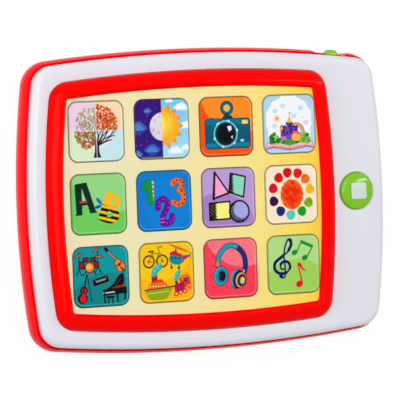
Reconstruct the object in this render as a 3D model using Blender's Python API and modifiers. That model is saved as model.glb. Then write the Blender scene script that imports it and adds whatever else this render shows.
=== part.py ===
"""A toddler's play tablet: a red tray closed by a white front frame, with a red bezel round a
yellow panel of twelve picture keys, a green home button, a power slider in the top edge, and
inside a circuit board, a rubber keypad, a loudspeaker and three AA cells behind a back door.

It lies on its back: X runs along the screen, Y up the screen and Z out of it. The origin is
the middle of the footprint, on the flat back.
"""

import math

import bmesh
import bpy
from mathutils import Matrix, Vector

MM = 0.001
GAP = 0.3 * MM  # between pieces that touch

# The front frame's outline, and how far the tray bulges past it all round
FRAME_HALF_X = 116.9 * MM
FRAME_HALF_Y = 86.8 * MM
FRAME_SIDE_BOW = 515 * MM
FRAME_TOP_BOW = 920 * MM
FRAME_CORNER = 12.5 * MM
TRAY_BULGE = 2.25 * MM

# Heights above the flat back
FLOOR_TOP = 2.0 * MM
BULGE_Z = 13.0 * MM
RIM_OVER_CELLS = 3.15 * MM  # from the cells' tops to the tray's rim
FACE_RISE = 6.0 * MM  # the frame's face above the rim
PANEL_RISE = 1.6 * MM  # the panel's face above the frame's face
BEZEL_RISE = 4.7 * MM  # the bezel's crest above the frame's face
WALL = 2.2 * MM

# The bezel's outer seam, measured from its own centre
BEZEL_HALF_X = 94.3 * MM
BEZEL_HALF_Y = 76.1 * MM
BEZEL_SIDE_BOW = 511 * MM
BEZEL_TOP_BOW = 882 * MM
BEZEL_CORNER = 12.2 * MM
BEZEL_WIDTH = 9.75 * MM
BEZEL_X = -12.0 * MM

# Picture keys
KEY_PITCH = 42.0 * MM
KEY_SIZE = 35.0 * MM
KEY_CORNER = 5.5 * MM
KEY_LIP = 1.2 * MM  # the flange that holds a key under the panel
KEY_TRAVEL = 0.8 * MM
KEY_PROUD = 0.4 * MM
KEYS_X = BEZEL_X + 0.84 * MM
KEY_NAMES = (
    ("tree", "sky", "camera", "castle"),
    ("letters", "numbers", "shapes", "colours"),
    ("band", "traffic", "headphones", "music"),
)

# Home button
HOME_R = 11.15 * MM
HOME_FROM_SEAM = 3.85 * MM  # the strip of face between the bezel and the button
HOME_X = BEZEL_X + BEZEL_HALF_X + HOME_FROM_SEAM + HOME_R
HOME_RISE = 3.2 * MM
HOME_LIP = 1.2 * MM  # the flange that holds the button under the frame
HOME_TRAVEL = 1.2 * MM
INLAY_SIZE = 10.3 * MM

# Power slider, in a scalloped recess of the top edge
SLIDER_X = 88.5 * MM
SLIDER_DROP = 5.0 * MM  # the slider's middle below the rim
SLIDER_TRAVEL = 4.0 * MM
SLIDER_WIDTH = 8.0 * MM
SLIDER_DEEP = 6.0 * MM
RECESS_DEPTH = 2.6 * MM

# Board and keypad
BOARD_THICK = 1.6 * MM
BOARD_RISE = 0.5 * MM  # the board's upper face above the rim
BOARD_HALF_X = 76.0 * MM
BOARD_HALF_Y = 57.0 * MM
TONGUE_HALF = 10.0 * MM
KEYPAD_THICK = 0.8 * MM
DOME_RISE = 1.0 * MM

# Battery compartment
CELL_R = 7.1 * MM
CELL_LENGTH = 49.2 * MM
NUB_R = 2.7 * MM
NUB_LENGTH = 1.3 * MM
CELL_MARGIN = 0.5 * MM  # half the space between neighbouring cells
CELL_PITCH = 2 * (CELL_R + CELL_MARGIN)
SPRING_LENGTH = 4.3 * MM
CONTACT_THICK = 0.5 * MM
WELL_X = -12.0 * MM
WELL_Y = -20.0 * MM
WELL_WALL = 1.5 * MM
DOOR_THICK = 2.2 * MM
DOOR_RAISED = 0.15 * MM  # above the plane that the tablet rests on
DOOR_END = 9.5 * MM  # how far the door runs past the compartment at its screw

# Loudspeaker
SPEAKER_X = 70.0 * MM
SPEAKER_Y = 38.0 * MM
SPEAKER_R = 20.0 * MM

# Screws
SCREW_R = 1.2 * MM
CASE_SCREW_XY = ((-98, 66), (-98, -66), (98, 66), (98, -66), (0, 72), (0, -72))

# Worked out from the above
DOOR_TOP = DOOR_RAISED + DOOR_THICK
RIM_Z = DOOR_TOP + GAP + 2 * CELL_R + RIM_OVER_CELLS
FACE_Z = RIM_Z + FACE_RISE
BOARD_TOP = RIM_Z + BOARD_RISE
SLIDER_Z = RIM_Z - SLIDER_DROP
PANEL_TOP = FACE_Z + PANEL_RISE
PANEL_BOTTOM = PANEL_TOP - 1.6 * MM
LEDGE_TOP = FACE_Z - 2.0 * MM
LEDGE_BOTTOM = LEDGE_TOP - 2.0 * MM
LEDGE_REACH = 6.0 * MM
PANEL_INSET = 4.3 * MM
BEZEL_CREST = FACE_Z + BEZEL_RISE
KEY_TOP = PANEL_TOP + KEY_PROUD
BOARD_BOTTOM = BOARD_TOP - BOARD_THICK
KEYPAD_TOP = BOARD_TOP + GAP + KEYPAD_THICK
DOME_TOP = KEYPAD_TOP + DOME_RISE
WELL_HALF_X = (CELL_LENGTH + NUB_LENGTH + SPRING_LENGTH) / 2 + CONTACT_THICK + 2 * GAP
WELL_HALF_Y = 1.5 * CELL_PITCH + GAP
SEAT_Z = DOOR_TOP + DOOR_RAISED  # the lip that the door closes on
CELL_Z = DOOR_TOP + GAP + CELL_R
WELL_TOP = CELL_Z + CELL_R + GAP
LEAST_CORNER = 1.5 * MM


class Bowed:
    """A rounded rectangle whose four sides bow out as arcs."""

    def __init__(self, half_x, half_y, side_bow, top_bow, corner, centre_x=0.0):
        self.half_x = half_x
        self.half_y = half_y
        self.side_bow = side_bow
        self.top_bow = top_bow
        self.corner = corner
        self.centre_x = centre_x

    def inset(self, d):
        """The same outline a distance d inside, or outside where d is negative."""
        corner = max(self.corner - d, LEAST_CORNER)
        return Bowed(
            self.half_x - d, self.half_y - d, self.side_bow - d, self.top_bow - d, corner, self.centre_x
        )

    def ring(self, z):
        """The outline's points at height z, anticlockwise from the middle of the +X side."""
        side = Vector((self.half_x - self.side_bow, 0))
        top = Vector((0, self.half_y - self.top_bow))
        corner = circles_meet(side, self.side_bow - self.corner, top, self.top_bow - self.corner)
        start = math.atan2(corner.y - side.y, corner.x - side.x)
        end = math.atan2(corner.y - top.y, corner.x - top.x)
        quarter = arc(side, self.side_bow, 0, start, 3)[:-1]
        quarter += arc(corner, self.corner, start, end, 4)[:-1]
        quarter += arc(top, self.top_bow, end, math.pi / 2, 3)
        upper = quarter + [(-x, y) for x, y in reversed(quarter[:-1])]
        whole = upper + [(x, -y) for x, y in reversed(upper[1:-1])]
        return [(self.centre_x + x, y, z) for x, y in whole]


FRAME = Bowed(FRAME_HALF_X, FRAME_HALF_Y, FRAME_SIDE_BOW, FRAME_TOP_BOW, FRAME_CORNER)
TRAY = FRAME.inset(-TRAY_BULGE)
SEAM = Bowed(BEZEL_HALF_X, BEZEL_HALF_Y, BEZEL_SIDE_BOW, BEZEL_TOP_BOW, BEZEL_CORNER, BEZEL_X)


def circles_meet(a, radius_a, b, radius_b):
    """The meeting point of two circles that lies furthest up and to the right."""
    apart = (b - a).length
    along = (radius_a**2 - radius_b**2 + apart**2) / (2 * apart)
    aside = math.sqrt(radius_a**2 - along**2)
    line = (b - a) / apart
    foot = a + line * along
    across = Vector((-line.y, line.x)) * aside
    return max(foot + across, foot - across, key=lambda p: p.x + p.y)


def arc(centre, radius, start, end, steps):
    """Points along an arc, both ends included."""
    angles = [start + (end - start) * i / steps for i in range(steps + 1)]
    return [(centre[0] + radius * math.cos(a), centre[1] + radius * math.sin(a)) for a in angles]


def rounded(half_x, half_y, corner, z, steps=3):
    """A rounded rectangle's points at height z, anticlockwise."""
    points = []
    for turn, (sx, sy) in enumerate(((1, 1), (-1, 1), (-1, -1), (1, -1))):
        centre = (sx * (half_x - corner), sy * (half_y - corner))
        points += arc(centre, corner, turn * math.pi / 2, (turn + 1) * math.pi / 2, steps)
    return [(x, y, z) for x, y in points]


# Meshes


def finished(bm, name):
    """Turns a bmesh into a mesh with its faces pointing out."""
    bmesh.ops.recalc_face_normals(bm, faces=bm.faces)
    mesh = bpy.data.meshes.new(name)
    bm.to_mesh(mesh)
    bm.free()
    return mesh


def loft(rings, name, closed=False):
    """Skins a row of like rings, capped at both ends, or joined end to end if closed."""
    bm = bmesh.new()
    rows = [[bm.verts.new(p) for p in ring] for ring in rings]
    pairs = list(zip(rows, rows[1:]))
    if closed:
        pairs.append((rows[-1], rows[0]))
    count = len(rings[0])
    for low, high in pairs:
        for i in range(count):
            j = (i + 1) % count
            bm.faces.new((low[i], low[j], high[j], high[i]))
    if not closed:
        bm.faces.new(rows[0][::-1])
        bm.faces.new(rows[-1])
    return finished(bm, name)


def box(x, y, z, name="box"):
    """A box between the two limits given on each axis."""
    bm = bmesh.new()
    bmesh.ops.create_cube(bm, size=1)
    size = [high - low for low, high in (x, y, z)]
    middle = [(low + high) / 2 for low, high in (x, y, z)]
    bmesh.ops.scale(bm, vec=size, verts=bm.verts)
    bmesh.ops.translate(bm, vec=middle, verts=bm.verts)
    return finished(bm, name)


def rod(x, y, radius, z, name="rod", sides=16, top_radius=None):
    """An upright cylinder or cone between the two heights z."""
    bm = bmesh.new()
    low, high = z
    place = Matrix.Translation((x, y, (low + high) / 2))
    bmesh.ops.create_cone(
        bm,
        cap_ends=True,
        segments=sides,
        radius1=radius,
        radius2=radius if top_radius is None else top_radius,
        depth=high - low,
        matrix=place,
    )
    return finished(bm, name)


def moved(mesh, matrix):
    """The mesh after a rotation or a shift."""
    mesh.transform(matrix)
    return mesh


# Objects


def clear_scene():
    """Removes whatever the scene holds."""
    for obj in list(bpy.data.objects):
        bpy.data.objects.remove(obj, do_unlink=True)


def new_collection(name):
    """A collection in the scene."""
    made = bpy.data.collections.new(name)
    bpy.context.scene.collection.children.link(made)
    return made


clear_scene()
PARTS = new_collection("play_tablet")
CUTTERS = new_collection("cutters")


def paint(name, colour, roughness, metallic=0.0):
    """A Principled material."""
    material = bpy.data.materials.new(name)
    material.use_nodes = True
    shader = material.node_tree.nodes["Principled BSDF"]
    shader.inputs["Base Color"].default_value = (*colour, 1)
    shader.inputs["Roughness"].default_value = roughness
    shader.inputs["Metallic"].default_value = metallic
    material.diffuse_color = (*colour, 1)
    return material


RED = paint("red_plastic", (0.8, 0.01, 0.02), 0.3)
WHITE = paint("white_plastic", (0.78, 0.78, 0.82), 0.35)
YELLOW = paint("yellow_panel", (0.9, 0.75, 0.35), 0.25)
KEY = paint("printed_key", (0.45, 0.7, 0.75), 0.2)
GREEN = paint("green_plastic", (0.28, 0.75, 0.02), 0.3)
RUBBER = paint("keypad_rubber", (0.55, 0.55, 0.56), 0.8)
BOARD = paint("board_green", (0.02, 0.2, 0.08), 0.5)
BLACK = paint("black_plastic", (0.02, 0.02, 0.02), 0.4)
STEEL = paint("steel", (0.6, 0.6, 0.62), 0.3, 1.0)
FERRITE = paint("ferrite", (0.08, 0.08, 0.09), 0.6)
CONE = paint("speaker_paper", (0.05, 0.05, 0.05), 0.9)
CELL = paint("cell_jacket", (0.1, 0.1, 0.12), 0.35)
RED_WIRE = paint("red_wire", (0.7, 0.02, 0.02), 0.45)
BLACK_WIRE = paint("black_wire", (0.02, 0.02, 0.02), 0.45)
BLUE_WIRE = paint("blue_wire", (0.03, 0.1, 0.5), 0.45)


def part(name, mesh, material, at=(0, 0, 0)):
    """One named piece of the tablet."""
    obj = bpy.data.objects.new(name, mesh)
    obj.location = at
    mesh.name = name
    mesh.materials.append(material)
    mesh.shade_smooth()
    mesh.set_sharp_from_angle(angle=math.radians(35))
    PARTS.objects.link(obj)
    return obj


def shaped(target, operation, meshes, label):
    """Joins meshes to a piece, or cuts them from it, with one Boolean for each."""
    for number, mesh in enumerate(meshes, 1):
        tool = bpy.data.objects.new(f"{target.name}_{label}_{number}", mesh)
        tool.location = target.location
        tool.hide_render = True
        tool.display_type = "WIRE"
        CUTTERS.objects.link(tool)
        boolean = target.modifiers.new(f"{label}_{number}", "BOOLEAN")
        boolean.operation = operation
        boolean.solver = "EXACT"
        boolean.object = tool


def joined(target, meshes, label):
    """Moulds meshes onto a piece."""
    shaped(target, "UNION", meshes, label)


def cut(target, meshes, label):
    """Cuts meshes out of a piece."""
    shaped(target, "DIFFERENCE", meshes, label)


def turned(name, profile, material, at, steps=24):
    """A turned piece: (radius, height) points run down the outer side, then back up inside."""
    mesh = bpy.data.meshes.new(name)
    points = [(r, 0, z) for r, z in profile]
    edges = [(i, i + 1) for i in range(len(points) - 1)]
    if profile[0][0] > 0:
        edges.append((len(points) - 1, 0))
    mesh.from_pydata(points, edges, [])
    obj = part(name, mesh, material, at)
    screw = obj.modifiers.new("turn", "SCREW")
    screw.steps = steps
    screw.render_steps = steps
    screw.use_merge_vertices = True
    screw.merge_threshold = 1e-6
    screw.use_smooth_shade = True
    return obj


def tube(name, points, radius):
    """A closed tube along points, as a mesh."""
    curve = bpy.data.curves.new(name, "CURVE")
    curve.dimensions = "3D"
    curve.bevel_depth = radius
    curve.bevel_resolution = 2
    curve.use_fill_caps = True
    spline = curve.splines.new("POLY")
    spline.points.add(len(points) - 1)
    for point, place in zip(spline.points, points):
        point.co = (*place, 1)
    guide = bpy.data.objects.new(name, curve)
    CUTTERS.objects.link(guide)
    graph = bpy.context.evaluated_depsgraph_get()
    mesh = bpy.data.meshes.new_from_object(guide.evaluated_get(graph))
    bpy.data.objects.remove(guide)
    bm = bmesh.new()
    bm.from_mesh(mesh)
    bmesh.ops.remove_doubles(bm, verts=bm.verts, dist=1e-6)
    bpy.data.meshes.remove(mesh)
    return finished(bm, name)


# Case


def case_screw_places():
    """Where the six case screws stand."""
    return [(x * MM, y * MM) for x, y in CASE_SCREW_XY]


SCREW_SEAT = 9.0 * MM
BOSS_MEET = RIM_Z - 1.0 * MM


def tray_rings():
    """The tray's section, up the outside, over the rim and its tongue, and down inside."""
    outside = (
        (0.0, 9.5),
        (0.8, 7.0),
        (2.6, 4.2),
        (5.4, 1.9),
        (9.0, 0.5),
        (13.0, 0.0),
        (16.5, 0.4),
        (19.0, 1.45),
    )
    scale_z = BULGE_Z / (13.0 * MM)
    rings = [TRAY.inset(d * MM).ring(z * MM * scale_z) for z, d in outside]
    rim = TRAY_BULGE
    tongue = rim + WALL + GAP
    tongue_in = tongue + 1.4 * MM
    rings.append(TRAY.inset(rim).ring(RIM_Z))
    rings.append(TRAY.inset(tongue).ring(RIM_Z))
    rings.append(TRAY.inset(tongue).ring(RIM_Z + 1.6 * MM))
    rings.append(TRAY.inset(tongue_in).ring(RIM_Z + 1.6 * MM))
    rings.append(TRAY.inset(tongue_in).ring(RIM_Z - 2.5 * MM))
    rings.append(TRAY.inset(WALL + 0.2 * MM).ring(BULGE_Z + 1.5 * MM))
    rings.append(TRAY.inset(WALL + 0.5 * MM).ring(9.0 * MM * scale_z))
    rings.append(TRAY.inset(WALL + 2.2 * MM).ring(5.4 * MM * scale_z))
    rings.append(TRAY.inset(WALL + 6.8 * MM).ring(FLOOR_TOP))
    return rings


def rear_shell():
    """The red tray, with its bosses, battery compartment, speaker seat and slider recess."""
    shell = part("rear_shell", loft(tray_rings(), "rear_shell"), RED)
    inside = 0.5 * FLOOR_TOP
    bosses = [rod(x, y, 5.0 * MM, (inside, BOSS_MEET - GAP)) for x, y in case_screw_places()]
    bosses.append(rod(HOME_X, 0, 3.0 * MM, (inside, BOARD_BOTTOM - GAP)))
    joined(shell, bosses, "boss")
    joined(shell, well_walls(), "well")
    joined(shell, speaker_seat(), "speaker_seat")
    joined(shell, slider_block(), "slider_block")
    holes = []
    for x, y in case_screw_places():
        holes.append(rod(x, y, 3.3 * MM, (-MM, SCREW_SEAT)))
        holes.append(rod(x, y, SCREW_R + GAP, (SCREW_SEAT - MM, RIM_Z)))
    cut(shell, holes, "screw_hole")
    cut(shell, well_hollows(), "well_hollow")
    cut(shell, speaker_slots(), "grille")
    cut(shell, slider_hollows(), "slider_hollow")
    return shell


def front_frame():
    """The white frame, with the ledge that carries the panel and the bezel."""
    under = FACE_Z - WALL
    rings = [
        FRAME.ring(RIM_Z + GAP),
        FRAME.ring(FACE_Z - 3.4 * MM),
        FRAME.inset(0.55 * MM).ring(FACE_Z - 1.7 * MM),
        FRAME.inset(1.7 * MM).ring(FACE_Z - 0.6 * MM),
        FRAME.inset(3.6 * MM).ring(FACE_Z),
        SEAM.ring(FACE_Z),
        SEAM.ring(LEDGE_TOP),
        SEAM.inset(LEDGE_REACH).ring(LEDGE_TOP),
        SEAM.inset(LEDGE_REACH).ring(LEDGE_BOTTOM),
        SEAM.inset(-WALL).ring(LEDGE_BOTTOM),
        SEAM.inset(-WALL).ring(under),
        FRAME.inset(WALL).ring(under),
        FRAME.inset(WALL).ring(RIM_Z + GAP),
    ]
    frame = part("front_frame", loft(rings, "front_frame", closed=True), WHITE)
    bosses = []
    for x, y in case_screw_places():
        on_ledge = x < BEZEL_X + BEZEL_HALF_X
        root = (LEDGE_TOP if on_ledge else FACE_Z) - 0.5 * MM
        bosses.append(rod(x, y, 3.2 * MM, (BOSS_MEET, root)))
    joined(frame, bosses, "boss")
    cut(frame, [rod(HOME_X, 0, HOME_R + GAP, (under - MM, FACE_Z + MM), sides=32)], "home_hole")
    bores = [
        rod(x, y, SCREW_R + GAP, (BOSS_MEET - MM, LEDGE_TOP - 1.0 * MM)) for x, y in case_screw_places()
    ]
    cut(frame, bores, "screw_bore")
    return frame


def screen_bezel():
    """The raised red ring that clamps the panel on the frame's ledge."""
    foot = LEDGE_TOP + GAP
    over = PANEL_TOP + GAP
    outer = GAP
    crest = BEZEL_WIDTH - 2.4 * MM
    rise = BEZEL_CREST - FACE_Z
    section = [
        (outer, foot),
        (outer, FACE_Z + 0.06 * rise),
        (outer + 0.9 * MM, FACE_Z + 0.34 * rise),
        (outer + 2.5 * MM, FACE_Z + 0.64 * rise),
        (outer + 4.6 * MM, FACE_Z + 0.89 * rise),
        (crest, BEZEL_CREST),
        (BEZEL_WIDTH, over + 0.3 * MM),
        (BEZEL_WIDTH, over),
        (PANEL_INSET - GAP, over),
        (PANEL_INSET - GAP, foot),
    ]
    rings = [SEAM.inset(d).ring(z) for d, z in section]
    return part("screen_bezel", loft(rings, "screen_bezel", closed=True), RED)


# Panel, keys, keypad and board


def key_places():
    """Each key's name and centre, row by row from the top left."""
    for row, names in enumerate(KEY_NAMES):
        for column, name in enumerate(names):
            yield name, KEYS_X + (column - 1.5) * KEY_PITCH, (1 - row) * KEY_PITCH


def post_places():
    """Where the panel's four screw posts stand, between the keys."""
    return [(KEYS_X + sx * KEY_PITCH, sy * KEY_PITCH / 2) for sx in (-1, 1) for sy in (-1, 1)]


def key_panel():
    """The yellow panel, with a window for each key and posts that carry the board."""
    skirt_in = PANEL_INSET + 1.5 * MM
    foot = LEDGE_TOP + GAP
    rings = [
        SEAM.inset(skirt_in).ring(PANEL_BOTTOM),
        SEAM.inset(skirt_in).ring(foot),
        SEAM.inset(PANEL_INSET).ring(foot),
        SEAM.inset(PANEL_INSET).ring(PANEL_TOP),
    ]
    panel = part("key_panel", loft(rings, "key_panel"), YELLOW)
    posts = [
        rod(x, y, 2.4 * MM, (BOARD_TOP + GAP, PANEL_BOTTOM + 0.5 * MM), sides=12) for x, y in post_places()
    ]
    joined(panel, posts, "post")
    half = KEY_SIZE / 2 + GAP
    shift = KEY_CORNER + GAP
    windows = []
    for _name, x, y in key_places():
        levels = (PANEL_BOTTOM - MM, PANEL_TOP + MM)
        window = loft([rounded(half, half, shift, z) for z in levels], "window")
        windows.append(moved(window, Matrix.Translation((x, y, 0))))
    cut(panel, windows, "window")
    bores = [
        rod(x, y, SCREW_R + GAP, (BOARD_TOP - MM, PANEL_BOTTOM - MM), sides=12) for x, y in post_places()
    ]
    cut(panel, bores, "screw_bore")
    return panel


def picture_key(name, x, y):
    """A square key with a crowned face, the flange that traps it and a plunger."""
    half = KEY_SIZE / 2
    lip_top = PANEL_BOTTOM - GAP
    lip_bottom = lip_top - 0.8 * MM
    wide = half + KEY_LIP
    crown = 0.6 * MM
    rings = [
        rounded(wide, wide, KEY_CORNER + KEY_LIP, lip_bottom),
        rounded(wide, wide, KEY_CORNER + KEY_LIP, lip_top),
        rounded(half, half, KEY_CORNER, lip_top),
        rounded(half, half, KEY_CORNER, KEY_TOP - 0.35 * MM),
        rounded(half - crown, half - crown, KEY_CORNER - crown, KEY_TOP),
    ]
    key = part(f"key_{name}", loft(rings, name), KEY, (x, y, 0))
    tip = DOME_TOP + GAP + KEY_TRAVEL
    joined(key, [rod(0, 0, 2.0 * MM, (tip, lip_bottom + 0.4 * MM), sides=8)], "plunger")
    return key


def rubber_keypad():
    """The moulded rubber sheet with a contact dome under each key."""
    sheet = box(
        (KEYS_X - BOARD_HALF_X, KEYS_X + BOARD_HALF_X),
        (-BOARD_HALF_Y, BOARD_HALF_Y),
        (BOARD_TOP + GAP, KEYPAD_TOP),
    )
    keypad = part("rubber_keypad", sheet, RUBBER)
    domes = []
    for _name, x, y in key_places():
        base = KEYPAD_TOP - KEYPAD_THICK / 2
        domes.append(rod(x, y, 4.2 * MM, (base, DOME_TOP), sides=12, top_radius=2.6 * MM))
    joined(keypad, domes, "dome")
    holes = [rod(x, y, 2.8 * MM, (BOARD_TOP - MM, KEYPAD_TOP + MM), sides=12) for x, y in post_places()]
    cut(keypad, holes, "post_hole")
    return keypad


def main_board():
    """The circuit board, with a tongue that reaches under the home button."""
    board = part(
        "main_board",
        box(
            (KEYS_X - BOARD_HALF_X, KEYS_X + BOARD_HALF_X),
            (-BOARD_HALF_Y, BOARD_HALF_Y),
            (BOARD_BOTTOM, BOARD_TOP),
        ),
        BOARD,
    )
    right = KEYS_X + BOARD_HALF_X
    tongue = box((right - MM, HOME_X + 8 * MM), (-TONGUE_HALF, TONGUE_HALF), (BOARD_BOTTOM, BOARD_TOP))
    joined(board, [tongue], "tongue")
    holes = [
        rod(x, y, SCREW_R + GAP, (BOARD_BOTTOM - MM, BOARD_TOP + MM), sides=12) for x, y in post_places()
    ]
    cut(board, holes, "screw_hole")
    under = BOARD_BOTTOM - GAP
    part("sound_chip", rod(52 * MM, -30 * MM, 7 * MM, (under - 1.6 * MM, under), top_radius=8 * MM), BLACK)
    part("capacitor", rod(52 * MM, -12 * MM, 3.2 * MM, (under - 6 * MM, under)), BLACK)
    part("home_switch", box((-3 * MM, 3 * MM), (-3 * MM, 3 * MM), (0, 2.2 * MM)), BLACK)
    switch = bpy.data.objects["home_switch"]
    switch.location = (HOME_X, 0, BOARD_TOP + GAP)
    joined(switch, [rod(0, 0, 1.7 * MM, (MM, 2.6 * MM), sides=12)], "actuator")
    return board


def screw(name, x, y, head_z, tip_z, head_r=2.7 * MM, head_h=1.8 * MM, material=STEEL):
    """A pan-head screw that points up: its head's seat is at head_z."""
    made = part(name, rod(0, 0, head_r, (-head_h, 0), sides=12), material, (x, y, head_z))
    joined(made, [rod(0, 0, SCREW_R, (-0.5 * head_h, tip_z - head_z), sides=12)], "shank")
    return made


def screws():
    """The six case screws, the four board screws and the two that hold the loudspeaker."""
    for number, (x, y) in enumerate(case_screw_places(), 1):
        screw(f"case_screw_{number}", x, y, SCREW_SEAT - GAP, LEDGE_TOP - 1.5 * MM)
    for number, (x, y) in enumerate(post_places(), 1):
        seat = BOARD_BOTTOM - GAP
        screw(f"board_screw_{number}", x, y, seat, PANEL_BOTTOM - 2 * MM, 2.4 * MM, 1.4 * MM)


# Home button


def home_button():
    """The green dome, hollow under its crown, with a flange below the frame and a plunger."""
    top = FACE_Z + HOME_RISE
    under_frame = FACE_Z - WALL - GAP
    flange_r = HOME_R + HOME_LIP
    flange_bottom = under_frame - 0.9 * MM
    inner_r = HOME_R - 1.9 * MM
    ceiling = top - 2.2 * MM
    tip = BOARD_TOP + GAP + 2.6 * MM + GAP + HOME_TRAVEL
    profile = [
        (0, top),
        (0.45 * HOME_R, top - 0.05 * HOME_RISE),
        (0.72 * HOME_R, top - 0.22 * HOME_RISE),
        (0.9 * HOME_R, top - 0.5 * HOME_RISE),
        (HOME_R, FACE_Z + 0.05 * HOME_RISE),
        (HOME_R, under_frame),
        (flange_r, under_frame),
        (flange_r, flange_bottom),
        (inner_r, flange_bottom),
        (inner_r, ceiling - 0.6 * MM),
        (inner_r - 1.0 * MM, ceiling),
        (2.4 * MM, ceiling),
        (2.4 * MM, tip),
        (0, tip),
    ]
    button = turned("home_button", profile, GREEN, (HOME_X, 0, 0), steps=28)
    pocket_half = INLAY_SIZE / 2 + GAP
    pocket_floor = top - 1.0 * MM
    pocket = loft(
        [rounded(pocket_half, pocket_half, 1.5 * MM, z) for z in (pocket_floor, top + MM)], "pocket"
    )
    cut(button, [pocket], "pocket")
    half = INLAY_SIZE / 2
    inlay = loft(
        [
            rounded(half, half, 1.3 * MM, pocket_floor + GAP),
            rounded(half, half, 1.3 * MM, top + 0.1 * MM),
            rounded(half - 0.5 * MM, half - 0.5 * MM, 0.9 * MM, top + 0.4 * MM),
        ],
        "inlay",
    )
    part("home_button_inlay", inlay, WHITE, (HOME_X, 0, 0))
    return button


# Power slider


def slider_frame():
    """Puts (along the edge, outwards, up) at the tray's widest line beside the slider."""
    bow = TRAY.top_bow
    lean = math.asin(SLIDER_X / bow)
    edge_y = TRAY.half_y - bow + bow * math.cos(lean)
    return Matrix.Translation((SLIDER_X, edge_y, SLIDER_Z)) @ Matrix.Rotation(-lean, 4, "Z")


RECESS_MIDDLE = -1.75 * MM
SLIDER_WALL = WALL
SLIDER_BACK = -RECESS_DEPTH - SLIDER_WALL  # the inner face of the wall behind the recess
PLATE_THICK = 0.8 * MM
SWITCH_FRONT = SLIDER_BACK - GAP - PLATE_THICK - 1.5 * MM


def slider_block():
    """The thicker wall behind the recess, and the shelf that carries the switch."""
    place = slider_frame()
    low = 5.5 * MM - SLIDER_Z
    wall = box((-14 * MM, 10 * MM), (SLIDER_BACK, -0.95 * RECESS_DEPTH), (low, RIM_Z - SLIDER_Z - 0.5 * MM))
    shelf_top = -3 * MM - GAP
    shelf = box(
        (-8 * MM, 4 * MM), (SWITCH_FRONT - 5 * MM, SWITCH_FRONT), (0.5 * FLOOR_TOP - SLIDER_Z, shelf_top)
    )
    return [moved(wall, place), moved(shelf, place)]


def slider_hollows():
    """The pocket behind the wall, the scooped recess before it and the slot between."""
    place = slider_frame()
    top = RIM_Z - SLIDER_Z + 4 * MM
    pocket = box((-14 * MM, 10 * MM), (SLIDER_BACK - 3 * MM, SLIDER_BACK), (-5 * MM, top))
    deep = RECESS_DEPTH
    scoop_rings = []
    for half, low, v in ((8.2 * MM, -4.2 * MM, -deep), (13 * MM, -9 * MM, 2 * MM)):
        around = ((-half, top), (half, top), (half, low), (-half, low))
        scoop_rings.append([(u + RECESS_MIDDLE, v, z) for u, z in around])
    scoop = loft(scoop_rings, "scoop")
    reach = SLIDER_WIDTH / 4 + GAP
    slot = box(
        (-reach - SLIDER_TRAVEL, reach), (SLIDER_BACK - MM, -deep + MM), (-2.1 * MM, 2.1 * MM)
    )
    return [moved(pocket, place), moved(scoop, place), moved(slot, place)]


def power_slider():
    """The green thumb piece, its shield plate and fork, and the switch that it works."""
    place = slider_frame()
    cap_low = -RECESS_DEPTH + GAP
    half = SLIDER_WIDTH / 2
    cap = loft(
        [
            rounded(half, SLIDER_DEEP / 2, 1.8 * MM, cap_low),
            rounded(half, SLIDER_DEEP / 2, 1.8 * MM, cap_low + 1.4 * MM),
            rounded(half - 0.7 * MM, SLIDER_DEEP / 2 - 0.7 * MM, 1.5 * MM, 0.3 * MM),
            rounded(half - 2.0 * MM, SLIDER_DEEP / 2 - 1.6 * MM, 1.0 * MM, 0.9 * MM),
        ],
        "cap",
    )
    upright = Matrix.Rotation(-math.pi / 2, 4, "X")  # the cap's own up becomes the edge's outwards
    slider = part("power_slider", moved(cap, upright), GREEN)
    slider.matrix_world = place
    plate_front = SLIDER_BACK - GAP
    plate_back = plate_front - PLATE_THICK
    stem = box((-half / 2, half / 2), (plate_back + 0.2 * MM, cap_low + 0.5 * MM), (-1.8 * MM, 1.8 * MM))
    plate = box((-8.5 * MM, 8.5 * MM), (plate_back, plate_front), (-3.2 * MM, 3.2 * MM))
    prong_v = (plate_back - MM, plate_back + 0.4 * MM)
    prongs = []
    for side in (-1, 1):
        u = side * 1.75 * MM
        prongs.append(box((u - 0.5 * MM, u + 0.5 * MM), prong_v, (-1.5 * MM, 1.5 * MM)))
    joined_in_frame(slider, [stem, plate, *prongs], "back")
    can = box((-8 * MM, 4 * MM), (SWITCH_FRONT - 5 * MM, SWITCH_FRONT), (-3 * MM, 3 * MM))
    switch = part("slide_switch", can, STEEL)
    switch.matrix_world = place
    groove = box(
        (-1.2 * MM - SLIDER_TRAVEL, 1.2 * MM),
        (SWITCH_FRONT - 1.5 * MM, SWITCH_FRONT + MM),
        (-1.2 * MM, 1.2 * MM),
    )
    joined_in_frame(switch, [groove], "groove", "DIFFERENCE")
    lever = box((-0.9 * MM, 0.9 * MM), (SWITCH_FRONT - 1.2 * MM, plate_back - GAP), (-0.9 * MM, 0.9 * MM))
    pin = part("switch_lever", lever, BLACK)
    pin.matrix_world = place
    return slider


def joined_in_frame(target, meshes, label, operation="UNION"):
    """As joined or cut, for a piece that stands in the slider's own frame."""
    before = set(CUTTERS.objects)
    shaped(target, operation, meshes, label)
    for tool in set(CUTTERS.objects) - before:
        tool.matrix_world = target.matrix_world


# Battery compartment


def well_box(grow, z):
    """A box of the compartment's plan, grown all round."""
    return box(
        (WELL_X - WELL_HALF_X - grow, WELL_X + WELL_HALF_X + grow),
        (WELL_Y - WELL_HALF_Y - grow, WELL_Y + WELL_HALF_Y + grow),
        z,
    )


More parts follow.
